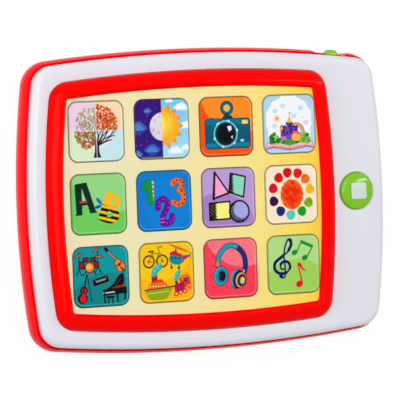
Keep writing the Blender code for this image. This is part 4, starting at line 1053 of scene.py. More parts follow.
def print_castle(p):
    """A toy castle on green hills that rises from an open book."""
    chance = np.random.default_rng(12)
    for step in range(17):
        turn = math.radians(-30 + step * 15)
        x, y = 12.6 * math.cos(turn) - 0.2, 3.0 + 11.2 * math.sin(turn)
        p.disc(x, y, 2.7 + 0.5 * (step % 2), (243, 247, 249))
    p.disc(-0.2, 3.0, 13.0, (243, 247, 249), ry=11.6)
    p.slab(-0.2, -3.0, 14.4, 7.0, (243, 247, 249), corner=2.5)
    for x, y in ((-9.4, 8.0), (8.0, 9.4), (11.4, 0.6), (-10.0, -0.8), (3.2, 4.6), (-4.0, 10.8)):
        p.disc(x, y, 1.8, (190, 222, 236), ry=1.4, strength=0.85)
    for turn in range(0, 360, 45):
        angle = math.radians(turn)
        start, end = (np.array((math.cos(angle), math.sin(angle))) * r + (-8.2, 3.4) for r in (1.6, 2.4))
        p.line([start, end], 0.45, (250, 190, 90))
    p.disc(-8.2, 3.4, 1.3, (248, 166, 60))
    for step, colour in enumerate(((232, 84, 96), (248, 160, 90), (170, 200, 120), (120, 170, 220))):
        away = np.abs(np.hypot(p.x - 4.6, p.y + 4.8) - 5.2 + 0.62 * step)
        p.lay(np.where(p.y > -8, 0.34 - away, -1), colour)
    page, fold = (250, 214, 216), (222, 96, 122)
    left = smooth([(-15.4, -11.4), (-11, -10.0), (-5, -10.6), (0, -12.4)])
    left += smooth([(0, -15.0), (-6, -13.8), (-11, -13.2), (-16.0, -14.2)])
    p.patch(left, page, fold, 0.5)
    p.patch([(-x, y) for x, y in left], page, fold, 0.5)
    for low in (0.9, 1.8):
        for side in (-1, 1):
            edge = (0, -12.8), (6, -11.5), (11, -11.0), (15.4, -12.0)
            p.line([(side * x, y - low) for x, y in edge], 0.28, fold)
    p.line([(-16.0, -14.6), (-11, -13.8), (0, -15.6), (11, -13.8), (16.0, -14.6)], 0.5, (196, 60, 96))
    hills = [(-13.6, -11.6), (-11.5, -7.4), (-5.5, -9.2), (0, -8.2), (6, -8.8), (11.5, -6.6), (13.8, -11.4)]
    p.patch(smooth(hills + [(7, -11.4), (0, -12.8), (-7, -11.4)], closed=True), (70, 158, 52))
    for _ in range(90):
        x = chance.uniform(-13.4, 13.4)
        if abs(x) > 4:
            y = -10.8 + chance.uniform(0, 1) * (1.4 + 4.6 * max(0, 1 - abs(abs(x) - 10.4) / 4.2))
            colours = ((36, 128, 44), (96, 178, 60), (26, 104, 50), (130, 196, 70))
            p.disc(x, y, chance.uniform(0.7, 1.2), colours[chance.integers(4)])
    wall, shade, roof = (112, 70, 172), (84, 46, 142), (66, 36, 124)
    p.slab(-0.4, -5.2, 4.8, 4.0, wall)
    for x, y, half_w, half_h in ((-4.4, -5.2, 1.6, 3.8), (4.0, -5.2, 1.6, 3.8), (0.0, -2.4, 2.0, 3.0)):
        p.slab(x, y, half_w, half_h, wall)
        p.slab(x + half_w * 0.5, y, half_w * 0.5, half_h, shade)
        for merlon in (-1, 0, 1):
            p.slab(x + merlon * half_w * 0.8, y + half_h + 0.3, half_w * 0.24, 0.5, roof)
        p.slab(x, y + half_h - 0.4, half_w + 0.4, 0.4, roof)
    p.patch([(-6.6, -4.2), (-5.4, 0.4), (-4.0, -3.6)], (244, 160, 50))
    p.patch([(3.0, -1.2), (5.2, -1.2), (4.1, 1.2)], (244, 160, 50))
    p.patch([(-1.8, 1.0), (1.8, 1.0), (0.1, 5.4)], (248, 184, 60))
    p.line([(0.1, 5.4), (0.1, 6.6)], 0.25, (150, 60, 60))
    p.patch([(0.1, 7.0), (1.7, 6.5), (0.1, 6.0)], (228, 70, 70))
    for x, y in ((-4.4, -4.0), (4.0, -4.0), (0.0, -1.4), (-1.6, -5.4), (1.4, -5.4)):
        p.slab(x, y, 0.5, 0.8, (52, 24, 92), corner=0.4)
    p.disc(-4.0, -8.4, 1.9, (216, 110, 176), ry=1.3)
    p.disc(4.4, -7.2, 3.3, (240, 92, 112), ry=3.0)
    p.disc(4.4, -8.2, 3.2, (250, 176, 74), ry=2.2)
    p.disc(3.6, -6.4, 0.7, (255, 222, 214), ry=0.5)


def print_letters(p):
    """A dark letter A and a striped letter B."""
    p.lay(24.0 - np.hypot(p.x - 7.0, p.y - 18.0), (148, 212, 130))
    ink_and_painted_edge_light = (10, 46, 38)
    p.patch([(-15.0, 11.6), (-10.6, 12.2), (-10.6, -5.6), (-14.2, -5.8)], ink_and_painted_edge_light)
    p.patch([(-14.6, 12.0), (-7.4, 12.8), (-2.0, -4.0), (-5.6, -4.9), (-10.4, 9.2)], ink_and_painted_edge_light)
    p.slab(-9.8, 1.6, 2.4, 0.65, (206, 54, 50), turn=4)
    p.slab(-9.6, 0.3, 2.6, 0.7, ink_and_painted_edge_light, turn=4)
    for foot_x, foot_y in ((-12.6, -5.6), (-3.6, -4.5)):
        p.slab(foot_x, foot_y, 2.2, 0.5, ink_and_painted_edge_light, corner=0.4, turn=4)
    p.disc(0.2, 1.6, 2.6, (30, 108, 186), ry=1.0, turn=-50)
    p.disc(-0.6, -1.6, 2.2, (22, 92, 164), ry=0.9, turn=14)
    u, v = p.local(8.6, -3.0, -20)
    u, v = u / 1.26, v / 1.06
    stem = np.minimum(1.7 - np.abs(u + 3.6), 8.0 - np.abs(v))
    upper = np.minimum(3.9 - np.hypot(np.maximum(u + 1.0, 0), v - 3.9), u + 4.0)
    lower = np.minimum(4.7 - np.hypot(np.maximum(u + 1.0, 0) * 0.9, v + 3.6), u + 4.0)
    shape = np.maximum(stem, np.maximum(upper, lower))
    eye = np.maximum(
        np.minimum(1.4 - np.hypot(np.maximum(u + 1.0, 0), v - 3.9), u + 1.9),
        np.minimum(1.9 - np.hypot(np.maximum(u + 1.0, 0) * 0.9, v + 3.6), u + 1.9),
    )
    shape = np.minimum(shape, -eye)
    p.lay(shape, (250, 184, 30))
    bands = np.abs(((v * 0.9 - u * 0.1) / 2.9) % 1 - 0.5)
    p.lay(np.where(v < 0.6, np.minimum(shape + 0.2, (0.25 - bands) * 2.9), -1.0), (18, 16, 14))


def print_numbers(p):
    """The numbers one, two and three, fat and rounded."""
    p.disc(2.0, -2.0, 15.0, (0, 130, 212), strength=0.6)
    p.slab(-8.4, 6.2, 0.8, 6.2, (246, 170, 50), corner=0.5, turn=6)
    for y in (11.0, 8.4, 5.8, 3.2):
        p.disc(-7.4, y, 0.9, (250, 196, 70))
    one = smooth([(-12.8, 7.8), (-11.8, 10.2), (-9.6, 11.2)]) + [(-9.4, 6.0), (-9.0, -0.6)]
    bow = [(-4.4, -4.0), (-4.0, -0.8), (-0.8, 1.0), (1.8, -1.2), (1.0, -5.0), (-1.2, -9.0), (-1.4, -12.6)]
    two = smooth(bow) + smooth([(-1.4, -13.0), (2.0, -13.2), (4.4, -11.4), (4.6, -9.2)])
    three = smooth([(5.4, 9.8), (7.6, 11.6), (10.6, 11.0), (11.4, 8.4), (9.6, 5.8)])
    three += smooth([(9.6, 5.8), (12.2, 3.4), (12.0, -0.6), (9.0, -2.6), (5.6, -1.2)])
    for path, width, colour, spots in (
        (one, 3.0, (20, 146, 64), None),
        (two, 3.3, (104, 20, 150), (178, 60, 200)),
        (three, 2.9, (252, 106, 36), (40, 26, 30)),
    ):
        p.line(path, width + 0.5, tuple(0.6 * c for c in colour))
        p.line(path, width, colour)
        if spots:
            for x, y in path[3::7]:
                p.disc(x + 0.9, y, 0.5, spots)
    for y in (-12.6, -10.6):
        p.slab(-1.9, y, 1.1, 0.3, (236, 110, 180))


def hatched(p, outline, colour, tone):
    """A shape filled with colour, hatched in black down its left side, with a sketched line."""
    depth = p.within(outline)
    p.lay(depth, colour)
    left = min(x for x, _ in outline)
    lines = np.abs(((p.x * 0.9 + p.y) / 1.9) % 1 - 0.5)
    border = left + tone + 0.5 * np.sin(p.y * 5)
    p.lay(np.where(p.x < border, np.minimum(depth, (0.455 - lines) * 1.9), -1.0), (10, 8, 12))
    p.lay(0.46 - np.abs(depth), (12, 9, 16))


def print_shapes(p):
    """A triangle, a rectangle, a square and a circle, sketched and hatched."""
    p.lay(25.0 - np.hypot(p.x + 7.0, p.y + 22.0), (168, 128, 196))
    hatched(p, [(-8.8, 15.2), (-10.2, -0.6), (0.2, 2.6)], (248, 166, 200), 1.2)
    p.line([(-8.8, 15.2), (-10.0, -0.6)], 1.4, (14, 11, 18))
    p.line([(-8.0, 0.2), (0.2, 2.6)], 1.1, (14, 11, 18))
    hatched(p, [(1.6, 14.2), (11.4, 11.8), (9.8, -0.2), (0.4, 3.0)], (140, 216, 184), 2.8)
    hatched(p, [(-12.8, -3.0), (0.6, -2.4), (0.6, -12.6), (-12.8, -13.0)], (250, 240, 130), 4.4)
    p.disc(6.8, -8.6, 6.3, (168, 166, 226))
    lines = np.abs(((p.x * 0.9 - p.y) / 1.6) % 1 - 0.5)
    rim = 6.2 - np.hypot(p.x - 6.8, p.y + 8.6)
    shade = np.hypot(p.x - 8.4, p.y + 7.4) - 5.4 + 0.5 * np.sin(p.y * 5 + p.x * 3)
    p.lay(np.where(shade > 0, np.minimum(rim, (0.36 - lines) * 1.6), -1.0), (14, 11, 20))
    p.ring(6.8, -8.6, 6.3, 0.95, (14, 11, 18))
    p.ring(6.6, -8.4, 6.6, 0.3, (14, 11, 18), ry=6.2)


WHEEL = (
    (101, (226, 22, 26)),
    (69, (232, 30, 34)),
    (41, (240, 112, 34)),
    (10, (250, 186, 30)),
    (-27, (124, 182, 26)),
    (-58, (20, 160, 44)),
    (-94, (86, 200, 190)),
    (-127, (22, 54, 120)),
    (-161, (62, 6, 72)),
    (164, (226, 6, 62)),
    (131, (228, 14, 26)),
)


def print_colours(p):
    """A wheel of paint dabs round a large orange dab."""
    dab = (1 - np.hypot((p.x - 0.2) / 7.6, (p.y + 0.1) / 9.0)) * 7.6 + 0.12 * np.sin(p.y * 1.9 + p.x)
    p.lay(dab, (246, 98, 24))
    p.lay(np.minimum(dab - 1.2, 1), (240, 46, 18), np.clip(dab / 4, 0, 1))
    p.mottle(dab, (220, 20, 22), 0.6, 21, 0.8)
    p.mottle(dab, (252, 128, 36), 0.45, 22, 1.1)
    for number, (turn, colour) in enumerate(WHEEL):
        angle = math.radians(turn)
        x, y = 12.7 * math.cos(angle), 0.4 + 12.8 * math.sin(angle)
        far = np.hypot(p.x - x, p.y - y)
        edge = 2.95 - far + 0.12 * np.sin(np.arctan2(p.y - y, p.x - x) * 3 + number)
        p.lay(edge, colour)
        p.mottle(edge - 0.4, tuple(0.66 * c for c in colour), 0.4, 40 + number, 1.4)


def print_band(p):
    """A drum kit, a guitar, a violin, a keyboard and a grand piano."""
    p.lay(27.0 - np.hypot(p.x - 3.0, p.y + 25.0), (0, 132, 134))
    black, red, orange = (12, 10, 14), (206, 34, 30), (246, 132, 36)
    for line in (
        [(-13.6, 14.6), (-14.0, 4.6), (-15.6, 1.4)],
        [(-14.0, 4.6), (-12.4, 1.4)],
        [(-1.8, 15.6), (-2.2, 5.4), (-4.0, 2.2)],
        [(-2.2, 5.4), (0.6, 1.8)],
        [(-9.2, 3.4), (-11.4, 1.2)],
        [(-4.8, 3.4), (-3.2, 1.2)],
    ):
        p.line(line, 0.5, black)
    drums = (-12.2, 7.0, 1.9, 2.2), (-9.6, 10.2, 1.9, 1.3), (-5.0, 10.2, 1.9, 1.3), (-2.8, 7.0, 1.6, 1.8)
    for x, y, half_w, half_h in drums:
        p.slab(x, y, half_w, half_h, black)
        p.slab(x, y, half_w - 0.5, half_h - 0.6, (170, 26, 28))
    for x, y, turn in ((-13.8, 12.8, 20), (-1.2, 11.6, -4), (-2.8, 15.4, 24)):
        p.disc(x, y, 2.7, black, ry=0.75, turn=turn)
        p.disc(x, y, 2.3, (220, 130, 60), ry=0.4, turn=turn)
    p.disc(-7.2, 5.6, 3.2, black)
    p.disc(-7.2, 5.6, 2.7, orange)
    p.disc(-7.6, 6.0, 1.6, (250, 176, 90))
    p.line([(3.8, 15.4), (10.6, 8.4)], 1.3, black)
    p.line([(4.6, 14.4), (10.6, 8.4)], 0.7, (226, 150, 90))
    p.slab(3.6, 15.4, 1.5, 0.9, black, turn=-46)
    for x, y, r in ((12.6, 5.0, 3.0), (10.7, 7.6, 2.2)):
        p.disc(x, y, r, (70, 30, 16))
        p.disc(x, y, r - 0.4, orange)
    p.disc(11.6, 6.4, 0.9, (70, 30, 16))
    p.line([(12.6, 4.6), (14.6, 2.6)], 0.9, (60, 26, 14))
    for x, y, r, ry in ((-12.2, -12.2, 3.1, 3.0), (-11.3, -7.6, 2.4, 2.4)):
        p.disc(x, y, r, black, ry=ry)
    for x, y, r, ry in ((-11.9, -12.4, 2.1, 2.2), (-11.1, -7.6, 1.5, 1.7), (-11.6, -10.0, 1.1, 1.6)):
        p.disc(x, y, r, (220, 28, 30), ry=ry)
    p.line([(-11.6, -9.0), (-9.4, 0.8)], 0.8, black)
    p.slab(-9.2, 0.8, 0.9, 0.6, black, turn=60)
    p.line([(-8.6, -0.4), (-6.6, -14.0)], 0.45, black)
    p.slab(-0.4, -2.4, 4.9, 1.9, black, corner=0.5, turn=14)
    for i in range(9):
        p.slab(-3.2 + i * 0.7, -2.9 + i * 0.17, 0.22, 0.6, (190, 190, 198), turn=14)
    p.slab(-3.9, -2.2, 0.4, 1.0, (150, 40, 30), turn=14)
    p.slab(3.2, -0.6, 0.5, 0.6, (150, 40, 30), turn=14)
    lid = smooth([(3.0, -7.6), (7.4, -4.6), (10.4, -0.6), (13.6, 1.4), (14.4, -2.4), (13.6, -6.4)])
    p.patch(lid + [(3.0, -8.4)], black)
    p.line([(8.4, -7.0), (12.4, -1.6)], 0.4, (70, 66, 76))
    p.patch([(6.4, -6.8), (13.6, -5.2), (16.4, -7.4), (9.0, -9.4)], (150, 54, 20))
    p.slab(8.4, -9.0, 7.6, 1.8, black, corner=0.5, turn=4)
    p.slab(4.4, -9.6, 3.8, 0.4, (200, 200, 204), turn=4)
    for line in ([(1.6, -10.0), (1.8, -15.4)], [(14.6, -9.0), (14.8, -14.0)], [(9.8, -10.4), (10.0, -15.2)]):
        p.line(line, 1.0, black)
    p.slab(5.4, -12.2, 2.6, 0.6, black, corner=0.4)
    p.line([(4.4, -12.4), (4.0, -16.0)], 0.7, black)
    p.line([(6.4, -12.4), (6.8, -16.0)], 0.7, black)


def print_traffic(p):
    """A bicycle, a helicopter, a steamship and a steam engine."""
    p.lay(25.0 - np.hypot(p.x + 6.0, p.y - 20.0), (248, 198, 30))
    olive, brown, teal, red = (136, 140, 24), (84, 48, 16), (18, 140, 140), (226, 58, 30)
    for x in (-11.4, -2.8):
        p.ring(x, 6.8, 3.4, 0.95, brown)
        for turn in range(0, 180, 36):
            angle = math.radians(turn)
            dx, dy = 3.2 * math.cos(angle), 3.2 * math.sin(angle)
            p.line([(x - dx, 6.8 - dy), (x + dx, 6.8 + dy)], 0.14, (190, 140, 40))
        p.disc(x, 6.8, 0.7, brown)
    for line in (
        [(-11.4, 6.8), (-9.2, 11.6), (-4.8, 11.4), (-7.2, 6.4), (-9.4, 11.4)],
        [(-11.4, 6.8), (-7.2, 6.4)],
        [(-2.8, 6.8), (-4.4, 12.4), (-5.4, 14.6), (-3.6, 15.6), (-2.6, 14.4)],
    ):
        p.line(line, 0.65, olive)
    p.slab(-9.8, 12.6, 1.8, 0.5, brown, corner=0.4)
    p.disc(6.6, 7.6, 5.0, teal, ry=3.5, turn=-6)
    p.slab(6.0, 10.2, 3.8, 0.9, (206, 30, 84), corner=0.6, turn=-10)
    p.slab(5.4, 11.4, 1.7, 0.7, (206, 30, 84), corner=0.4, turn=-8)
    for x in (3.6, 6.0, 8.4):
        p.disc(x, 8.2, 0.8, (10, 92, 100))
    p.patch([(10.4, 9.4), (14.8, 9.6), (14.8, 8.4), (10.6, 6.2)], (206, 30, 84))
    p.patch([(14.0, 9.0), (16.6, 11.4), (15.6, 8.8), (16.6, 6.8)], teal)
    p.slab(6.2, 12.4, 0.4, 1.2, brown)
    p.disc(8.6, 13.6, 7.0, (214, 120, 30), ry=0.8, turn=-22)
    p.line([(3.4, 3.0), (2.8, 4.8)], 0.5, brown)
    p.line([(8.2, 2.6), (8.0, 4.4)], 0.5, brown)
    p.disc(3.0, 2.6, 0.8, brown)
    p.disc(7.8, 2.2, 0.8, brown)
    hull = smooth([(-14.4, -9.8), (-13.0, -13.2), (-10.6, -15.6), (-1.4, -15.6), (1.4, -12.4), (3.8, -8.4)])
    p.patch(hull, (142, 166, 26))
    p.line([(-14.6, -9.9), (3.9, -8.3)], 0.8, (110, 54, 20))
    p.line([(-12.8, -12.0), (1.0, -11.0)], 0.35, (226, 236, 120))
    p.patch([(-12.8, -9.4), (-11.4, -6.4), (-1.2, -5.6), (0.8, -8.4)], (232, 110, 40))
    p.patch([(-10.8, -6.2), (-9.6, -4.2), (-3.2, -3.8), (-2.2, -5.6)], red)
    p.slab(-8.2, -3.0, 1.9, 1.6, (170, 30, 24), turn=4)
    for x in (-11.0, -9.2, -7.4, -5.6, -3.8, -2.0):
        p.disc(x, -7.8, 0.45, (255, 226, 120))
    for x, y, r in ((-8.6, -0.6, 1.7), (-7.6, 1.2, 2.2), (-5.6, 3.0, 2.2), (-4.4, 4.4, 1.3)):
        p.disc(x, y, r, (40, 168, 160))
        p.disc(x - 0.3, y + 0.3, r * 0.6, (86, 200, 188))
    p.slab(11.6, -6.0, 3.4, 3.2, red, corner=0.6, turn=10)
    p.slab(11.2, -3.4, 2.2, 1.6, (246, 110, 40), corner=0.4, turn=10)
    p.slab(12.0, -5.0, 1.4, 1.3, (120, 50, 90), turn=10)
    p.slab(8.0, -9.4, 3.4, 2.6, (176, 26, 84), corner=0.6, turn=14)
    p.disc(14.2, -9.6, 1.9, (246, 90, 30))
    p.ring(14.2, -9.6, 1.4, 0.4, (255, 200, 60))
    for x, y, r in ((5.6, -13.0, 1.5), (8.6, -12.4, 1.4), (11.4, -11.6, 1.4)):
        p.disc(x, y, r, (206, 60, 40))
        p.disc(x, y, r * 0.5, (250, 200, 60))
    p.slab(6.0, -6.4, 0.9, 1.2, (150, 30, 60), turn=14)
    for x, y, r in ((5.8, -3.6, 1.6), (6.8, -1.6, 1.7), (7.8, 0.2, 1.2)):
        p.disc(x, y, r, (40, 168, 160))
        p.disc(x - 0.3, y + 0.3, r * 0.6, (86, 200, 188))


def print_headphones(p):
    """Over-ear headphones in teal, navy and yellow."""
    p.lay(27.0 - np.hypot(p.x - 9.0, p.y - 27.5), (252, 116, 128))
    navy, teal, sky, gold = (14, 34, 96), (10, 132, 150), (30, 170, 184), (246, 168, 50)
    band = smooth([(-8.6, 2.4), (-7.6, 8.0), (-2.6, 13.0), (3.4, 12.8), (8.4, 8.0), (9.6, 1.6), (8.4, -3.6)])
    p.line(band, 3.3, navy)
    half = len(band) // 2
    p.line(band[: half + 2], 2.3, sky)
    p.line(band[4 : half - 2], 0.5, teal)
    p.line(band[half + 3 :], 1.5, (20, 56, 124))
    p.line([(-8.7, 3.2), (-8.6, 2.4)], 2.4, (226, 120, 60))
    p.line([(8.4, -1.8), (8.0, -3.4)], 1.3, gold)
    p.disc(-6.8, -4.2, 4.9, navy, ry=5.9, turn=-6)
    p.disc(-6.9, -4.2, 4.5, sky, ry=5.5, turn=-6)
    p.disc(-6.5, -4.3, 3.4, teal, ry=4.4, turn=-6)
    p.disc(-6.0, -4.2, 2.2, (3, 12, 30), ry=3.1, turn=-6)
    p.disc(3.8, -6.6, 4.3, navy, ry=5.9, turn=-10)
    p.disc(3.4, -6.4, 3.8, sky, ry=5.4, turn=-10)
    p.disc(4.8, -6.9, 3.8, navy, ry=5.4, turn=-10)
    p.disc(6.2, -7.3, 3.9, (8, 20, 66), ry=4.9, turn=-12)
    p.disc(6.3, -7.3, 3.5, gold, ry=4.5, turn=-12)
    p.disc(6.8, -7.5, 2.8, (8, 20, 66), ry=3.7, turn=-12)
    p.disc(7.0, -7.5, 2.1, (24, 70, 130), ry=2.8, turn=-12)
    p.disc(7.3, -7.6, 1.5, (252, 196, 60), ry=2.0, turn=-12)


def print_music(p):
    """A treble clef, a pair of beamed notes and a single note."""
    p.lay(27.0 - np.hypot(p.x - 2.0, p.y + 24.0), (160, 210, 92))
    navy, green, red = (8, 22, 92), (10, 140, 56), (226, 28, 28)
    over = [(-6.6, 5.4), (-5.6, 10.6), (-3.8, 14.6), (-1.6, 15.0), (-1.2, 12.0), (-3.6, 8.0), (-8.0, 4.8)]
    round_low = [(-12.4, 1.6), (-12.8, -2.4), (-9.6, -5.0), (-5.0, -4.6), (-2.6, -1.8), (-3.6, 1.2)]
    curl = [(-6.6, 2.0), (-9.0, 0.2), (-8.6, -2.2), (-6.8, -2.6)]
    loop = smooth(over + round_low + curl)
    p.line(loop, 1.05, navy)
    p.line(loop[58:100], 1.9, navy)
    p.line(loop[108:140], 1.7, navy)
    p.line(smooth([(-2.4, 14.8), (-1.5, 13.4), (-1.6, 11.4), (-3.2, 8.6)]), 1.9, navy)
    p.line(smooth([(-6.6, 5.4), (-6.0, 0.0), (-5.8, -5.0), (-6.8, -7.6), (-9.0, -7.4)]), 0.95, navy)
    p.disc(-8.8, -6.6, 1.3, navy)
    for x, y, top_x, top_y in ((0.8, 7.0, 5.6, 13.8), (7.6, 3.6, 13.0, 10.2)):
        p.disc(x, y, 2.1, green, ry=1.5, turn=24)
        p.line([(x + 1.6, y + 0.4), (top_x, top_y)], 0.8, green)
    p.patch([(5.2, 14.4), (13.4, 10.8), (12.8, 9.0), (4.8, 12.6)], green)
    p.disc(3.4, -12.0, 2.4, red, ry=1.9, turn=28)
    p.line([(5.2, -11.4), (3.0, -0.4)], 0.9, red)
    flag = [(2.4, 0.4), (4.6, 0.4), (6.0, -2.4), (8.4, -4.4), (5.6, -3.6), (4.2, -1.8)]
    p.patch(smooth(flag, closed=True), red)


GROUNDS = {
    "tree": ((220, 225, 220), print_tree),
    "sky": ((80, 120, 200), print_sky),
    "camera": ((243, 84, 16), print_camera),
    "castle": ((176, 214, 234), print_castle),
    "letters": ((108, 202, 88), print_letters),
    "numbers": ((0, 122, 204), print_numbers),
    "shapes": ((188, 154, 212), print_shapes),
    "colours": ((250, 232, 200), print_colours),
    "band": ((0, 148, 154), print_band),
    "traffic": ((246, 182, 12), print_traffic),
    "headphones": ((254, 62, 84), print_headphones),
    "music": ((176, 220, 134), print_music),
}


def printed_gloss_and_painted_edge_light():
    """Print, with the painted shade and painted highlight round each key's edge, read from the face's
    colours, with a fine print grain, under thick clear gloss.
    """
    made = bpy.data.materials.new("printed_gloss_and_painted_edge_light")
    made.use_nodes = True
    tree = made.node_tree
    shader = tree.nodes["Principled BSDF"]
    shader.inputs["Coat Weight"].default_value = 0.2
    shader.inputs["Coat Roughness"].default_value = 0.03
    shader.inputs["Specular IOR Level"].default_value = 0.0
    ink_and_painted_edge_light = tree.nodes.new("ShaderNodeVertexColor")
    ink_and_painted_edge_light.layer_name = "ink_and_painted_edge_light"
    skin = tree.nodes.new("ShaderNodeGroup")
    skin.node_tree = MOULDED
    skin.inputs["Clouding"].default_value = 0.08
    skin.inputs["Gloss Roughness"].default_value = 0.35
    skin.inputs["Haze"].default_value = 0.15
    tree.links.new(ink_and_painted_edge_light.outputs["Color"], skin.inputs["Colour"])
    tree.links.new(skin.outputs["Colour"], shader.inputs["Base Color"])
    tree.links.new(skin.outputs["Roughness"], shader.inputs["Roughness"])
    return made


PRINT_AND_PAINTED_EDGE_LIGHT = printed_gloss_and_painted_edge_light()
key_tip = key_low.z
key_top = key_high.z
lip_top = PANEL_TOP - PANEL_THICK - GAP
lip_bottom = lip_top - 0.8 * MM


def make_key(name):
    """A key as one closed skin: its printed face with a painted edge shade and painted edge highlight,
    rounded edge, flange and plunger.
    """
    flat_half = KEY_HALF - FACE_EDGE
    flat = key_outline(flat_half, KEY_CORNER - FACE_EDGE)
    count = len(flat)
    rings, heights = [], []
    for k in range(1, FACE_RINGS + 1):
        rings.append(flat * (k / FACE_RINGS))
        heights.append(key_top)
    for i in range(1, 6):
        turn = math.pi / 2 * i / 5
        grow = FACE_EDGE * math.sin(turn)
        rings.append(key_outline(flat_half + grow, KEY_CORNER - FACE_EDGE + grow))
        heights.append(key_top - FACE_EDGE * (1 - math.cos(turn)))
    lip_half = KEY_HALF + 1.2 * MM
    circle = np.arctan2(flat[:, 1], flat[:, 0])
    plunger = np.column_stack((np.cos(circle), np.sin(circle))) * 2.0 * MM
    for outline, z in (
        (rings[-1], lip_top),
        (key_outline(lip_half, KEY_CORNER + 1.2 * MM), lip_top),
        (key_outline(lip_half, KEY_CORNER + 1.2 * MM), lip_bottom),
        (plunger, lip_bottom),
        (plunger, key_tip),
    ):
        rings.append(outline)
        heights.append(z)
    flat_places = np.concatenate([np.zeros((1, 2))] + rings[:FACE_RINGS])
    ground, draw = GROUNDS[name]
    picture = Picture(flat_places / MM, ground)
    draw(picture)
    depth = picture.border(flat_half / MM, (KEY_CORNER - FACE_EDGE) / MM)
    # Painted shade: a soft dark line laid round the face's edge stands in for the shade in the gap between
    # the key and its window.
    picture.lay(0.1 - depth, (84, 76, 66), 0.5)
    # Painted highlight: a pale line just inside the edge, on the right and lower sides only, stands in for
    # light caught by the key's rounded edge.
    picture.lay(np.where(picture.x - picture.y > -4, 0.2 - np.abs(depth - 0.7), -1.0), (255, 255, 250), 0.34)
    ink_and_painted_edge_light = np.clip(picture.ink_and_painted_edge_light, 0, 255) / 255
    ink_and_painted_edge_light = np.where(ink_and_painted_edge_light <= 0.04045, ink_and_painted_edge_light / 12.92, ((ink_and_painted_edge_light + 0.055) / 1.055) ** 2.4)
    ink_and_painted_edge_light = np.clip(INK_CONTRAST * ink_and_painted_edge_light - INK_BLACK, 0, 1)
    rest = np.tile(ink_and_painted_edge_light[-count:], (len(rings) - FACE_RINGS, 1))
    ink_and_painted_edge_light = np.concatenate((ink_and_painted_edge_light, rest, ink_and_painted_edge_light[:1]))
    middle = key_middle(name)
    verts = [(middle.x, middle.y, key_top)]
    for outline, z in zip(rings, heights):
        verts += [(middle.x + x, middle.y + y, z) for x, y in outline]
    verts.append((middle.x, middle.y, key_tip))
    faces = [(0, 1 + i, 1 + (i + 1) % count) for i in range(count)]
    for r in range(len(rings) - 1):
        a, b = 1 + r * count, 1 + (r + 1) * count
        for i in range(count):
            j = (i + 1) % count
            faces.append((a + i, b + i, b + j, a + j))
    last = 1 + (len(rings) - 1) * count
    faces += [(len(verts) - 1, last + (i + 1) % count, last + i) for i in range(count)]
    mesh = bpy.data.meshes.new(f"key_{name}")
    mesh.from_pydata(verts, [], faces)
    layer = mesh.color_attributes.new("ink_and_painted_edge_light", "FLOAT_COLOR", "POINT")
    layer.data.foreach_set("color", np.column_stack((ink_and_painted_edge_light, np.ones(len(ink_and_painted_edge_light)))).ravel())
    piece(f"picture_{name}", mesh, PRINT_AND_PAINTED_EDGE_LIGHT, f"key_{name}", f"key_{name}", slot="key_print", sharp=50)


for name in KEY_NAMES:
    make_key(name)

# --- Home button ------------------------------------------------------------------------
# A domed green button that snaps up under the frame by a flange, with a white square set in
# its crown. Both are moulded, and it presses the switch on the board's tongue.

GREEN = plastic(
    "green_plastic", srgb(130, 200, 0), roughness=0.14, clouding=0.05, haze=0.06, specular=0.25, coat=0.15
)
INLAY_WHITE = plastic(
    "inlay_white", srgb(206, 226, 212), roughness=0.25, clouding=0.02, specular=0.4, coat=0.3
)


def turned(profile, name, x, y, steps=96):
    """A turned piece from (radius, height) points that run down the outer side and back up."""
    bm = bmesh.new()
    verts = [bm.verts.new((r, 0, z)) for r, z in profile]
    edges = [bm.edges.new(pair) for pair in zip(verts, verts[1:])]
    if profile[0][0] > 0:
        edges.append(bm.edges.new((verts[-1], verts[0])))
    bmesh.ops.spin(bm, geom=verts + edges, angle=2 * math.pi, steps=steps, axis=(0, 0, 1), cent=(0, 0, 0))
    bmesh.ops.remove_doubles(bm, verts=bm.verts, dist=1e-6)
    return moved(finished(bm, name), Matrix.Translation((x, y, 0)))


inlay_low, inlay_high = corners("home_button_inlay")
button_top = home_high.z
dome_rise = button_top - FACE_Z
under_frame = FACE_Z - WALL - GAP
flange_bottom = under_frame - 0.9 * MM
switch_top = corners("home_switch")[1].z
dome_foot = 0.35 * MM
dome = []
for i in range(19):
    turn = math.pi / 2 * i / 18
    height = FACE_Z + dome_foot + (dome_rise - dome_foot) * math.cos(turn) ** 0.85
    dome.append((home_r * math.sin(turn), height))
button_profile = dome + [
    (home_r, under_frame),
    (home_high.x - HOME.x, under_frame),
    (home_high.x - HOME.x, flange_bottom),
    (home_r - 1.9 * MM, flange_bottom),
    (home_r - 1.9 * MM, button_top - 2.8 * MM),
    (home_r - 2.9 * MM, button_top - 2.2 * MM),
    (2.4 * MM, button_top - 2.2 * MM),
    (2.4 * MM, switch_top + GAP + 1.2 * MM),
    (0, switch_top + GAP + 1.2 * MM),
]
inlay_half = (inlay_high.x - inlay_low.x) / 2
pocket_floor = inlay_low.z - GAP
pocket_half = inlay_half + 0.15 * MM
pocket_levels = (pocket_floor, button_top + MM)
pocket = loft([rounded(pocket_half, pocket_half, 1.5 * MM, z) for z in pocket_levels], "pocket")
button_mesh = carved(
    turned(button_profile, "home_button", HOME.x, 0),
    [("DIFFERENCE", moved(pocket, Matrix.Translation((HOME.x, 0, 0))))],
)
piece("home_button_dome", button_mesh, GREEN, "home_button", "home_button", slot="green_plastic", sharp=40)
inlay_rings = [rounded(inlay_half, inlay_half, 1.4 * MM, inlay_low.z)]
for i in range(6):
    turn = math.pi / 2 * i / 5
    d = 0.5 * MM * (1 - math.cos(turn))
    height = inlay_high.z - 0.5 * MM * (1 - math.sin(turn))
    inlay_rings.append(rounded(inlay_half - d, inlay_half - d, 1.4 * MM - d, height))
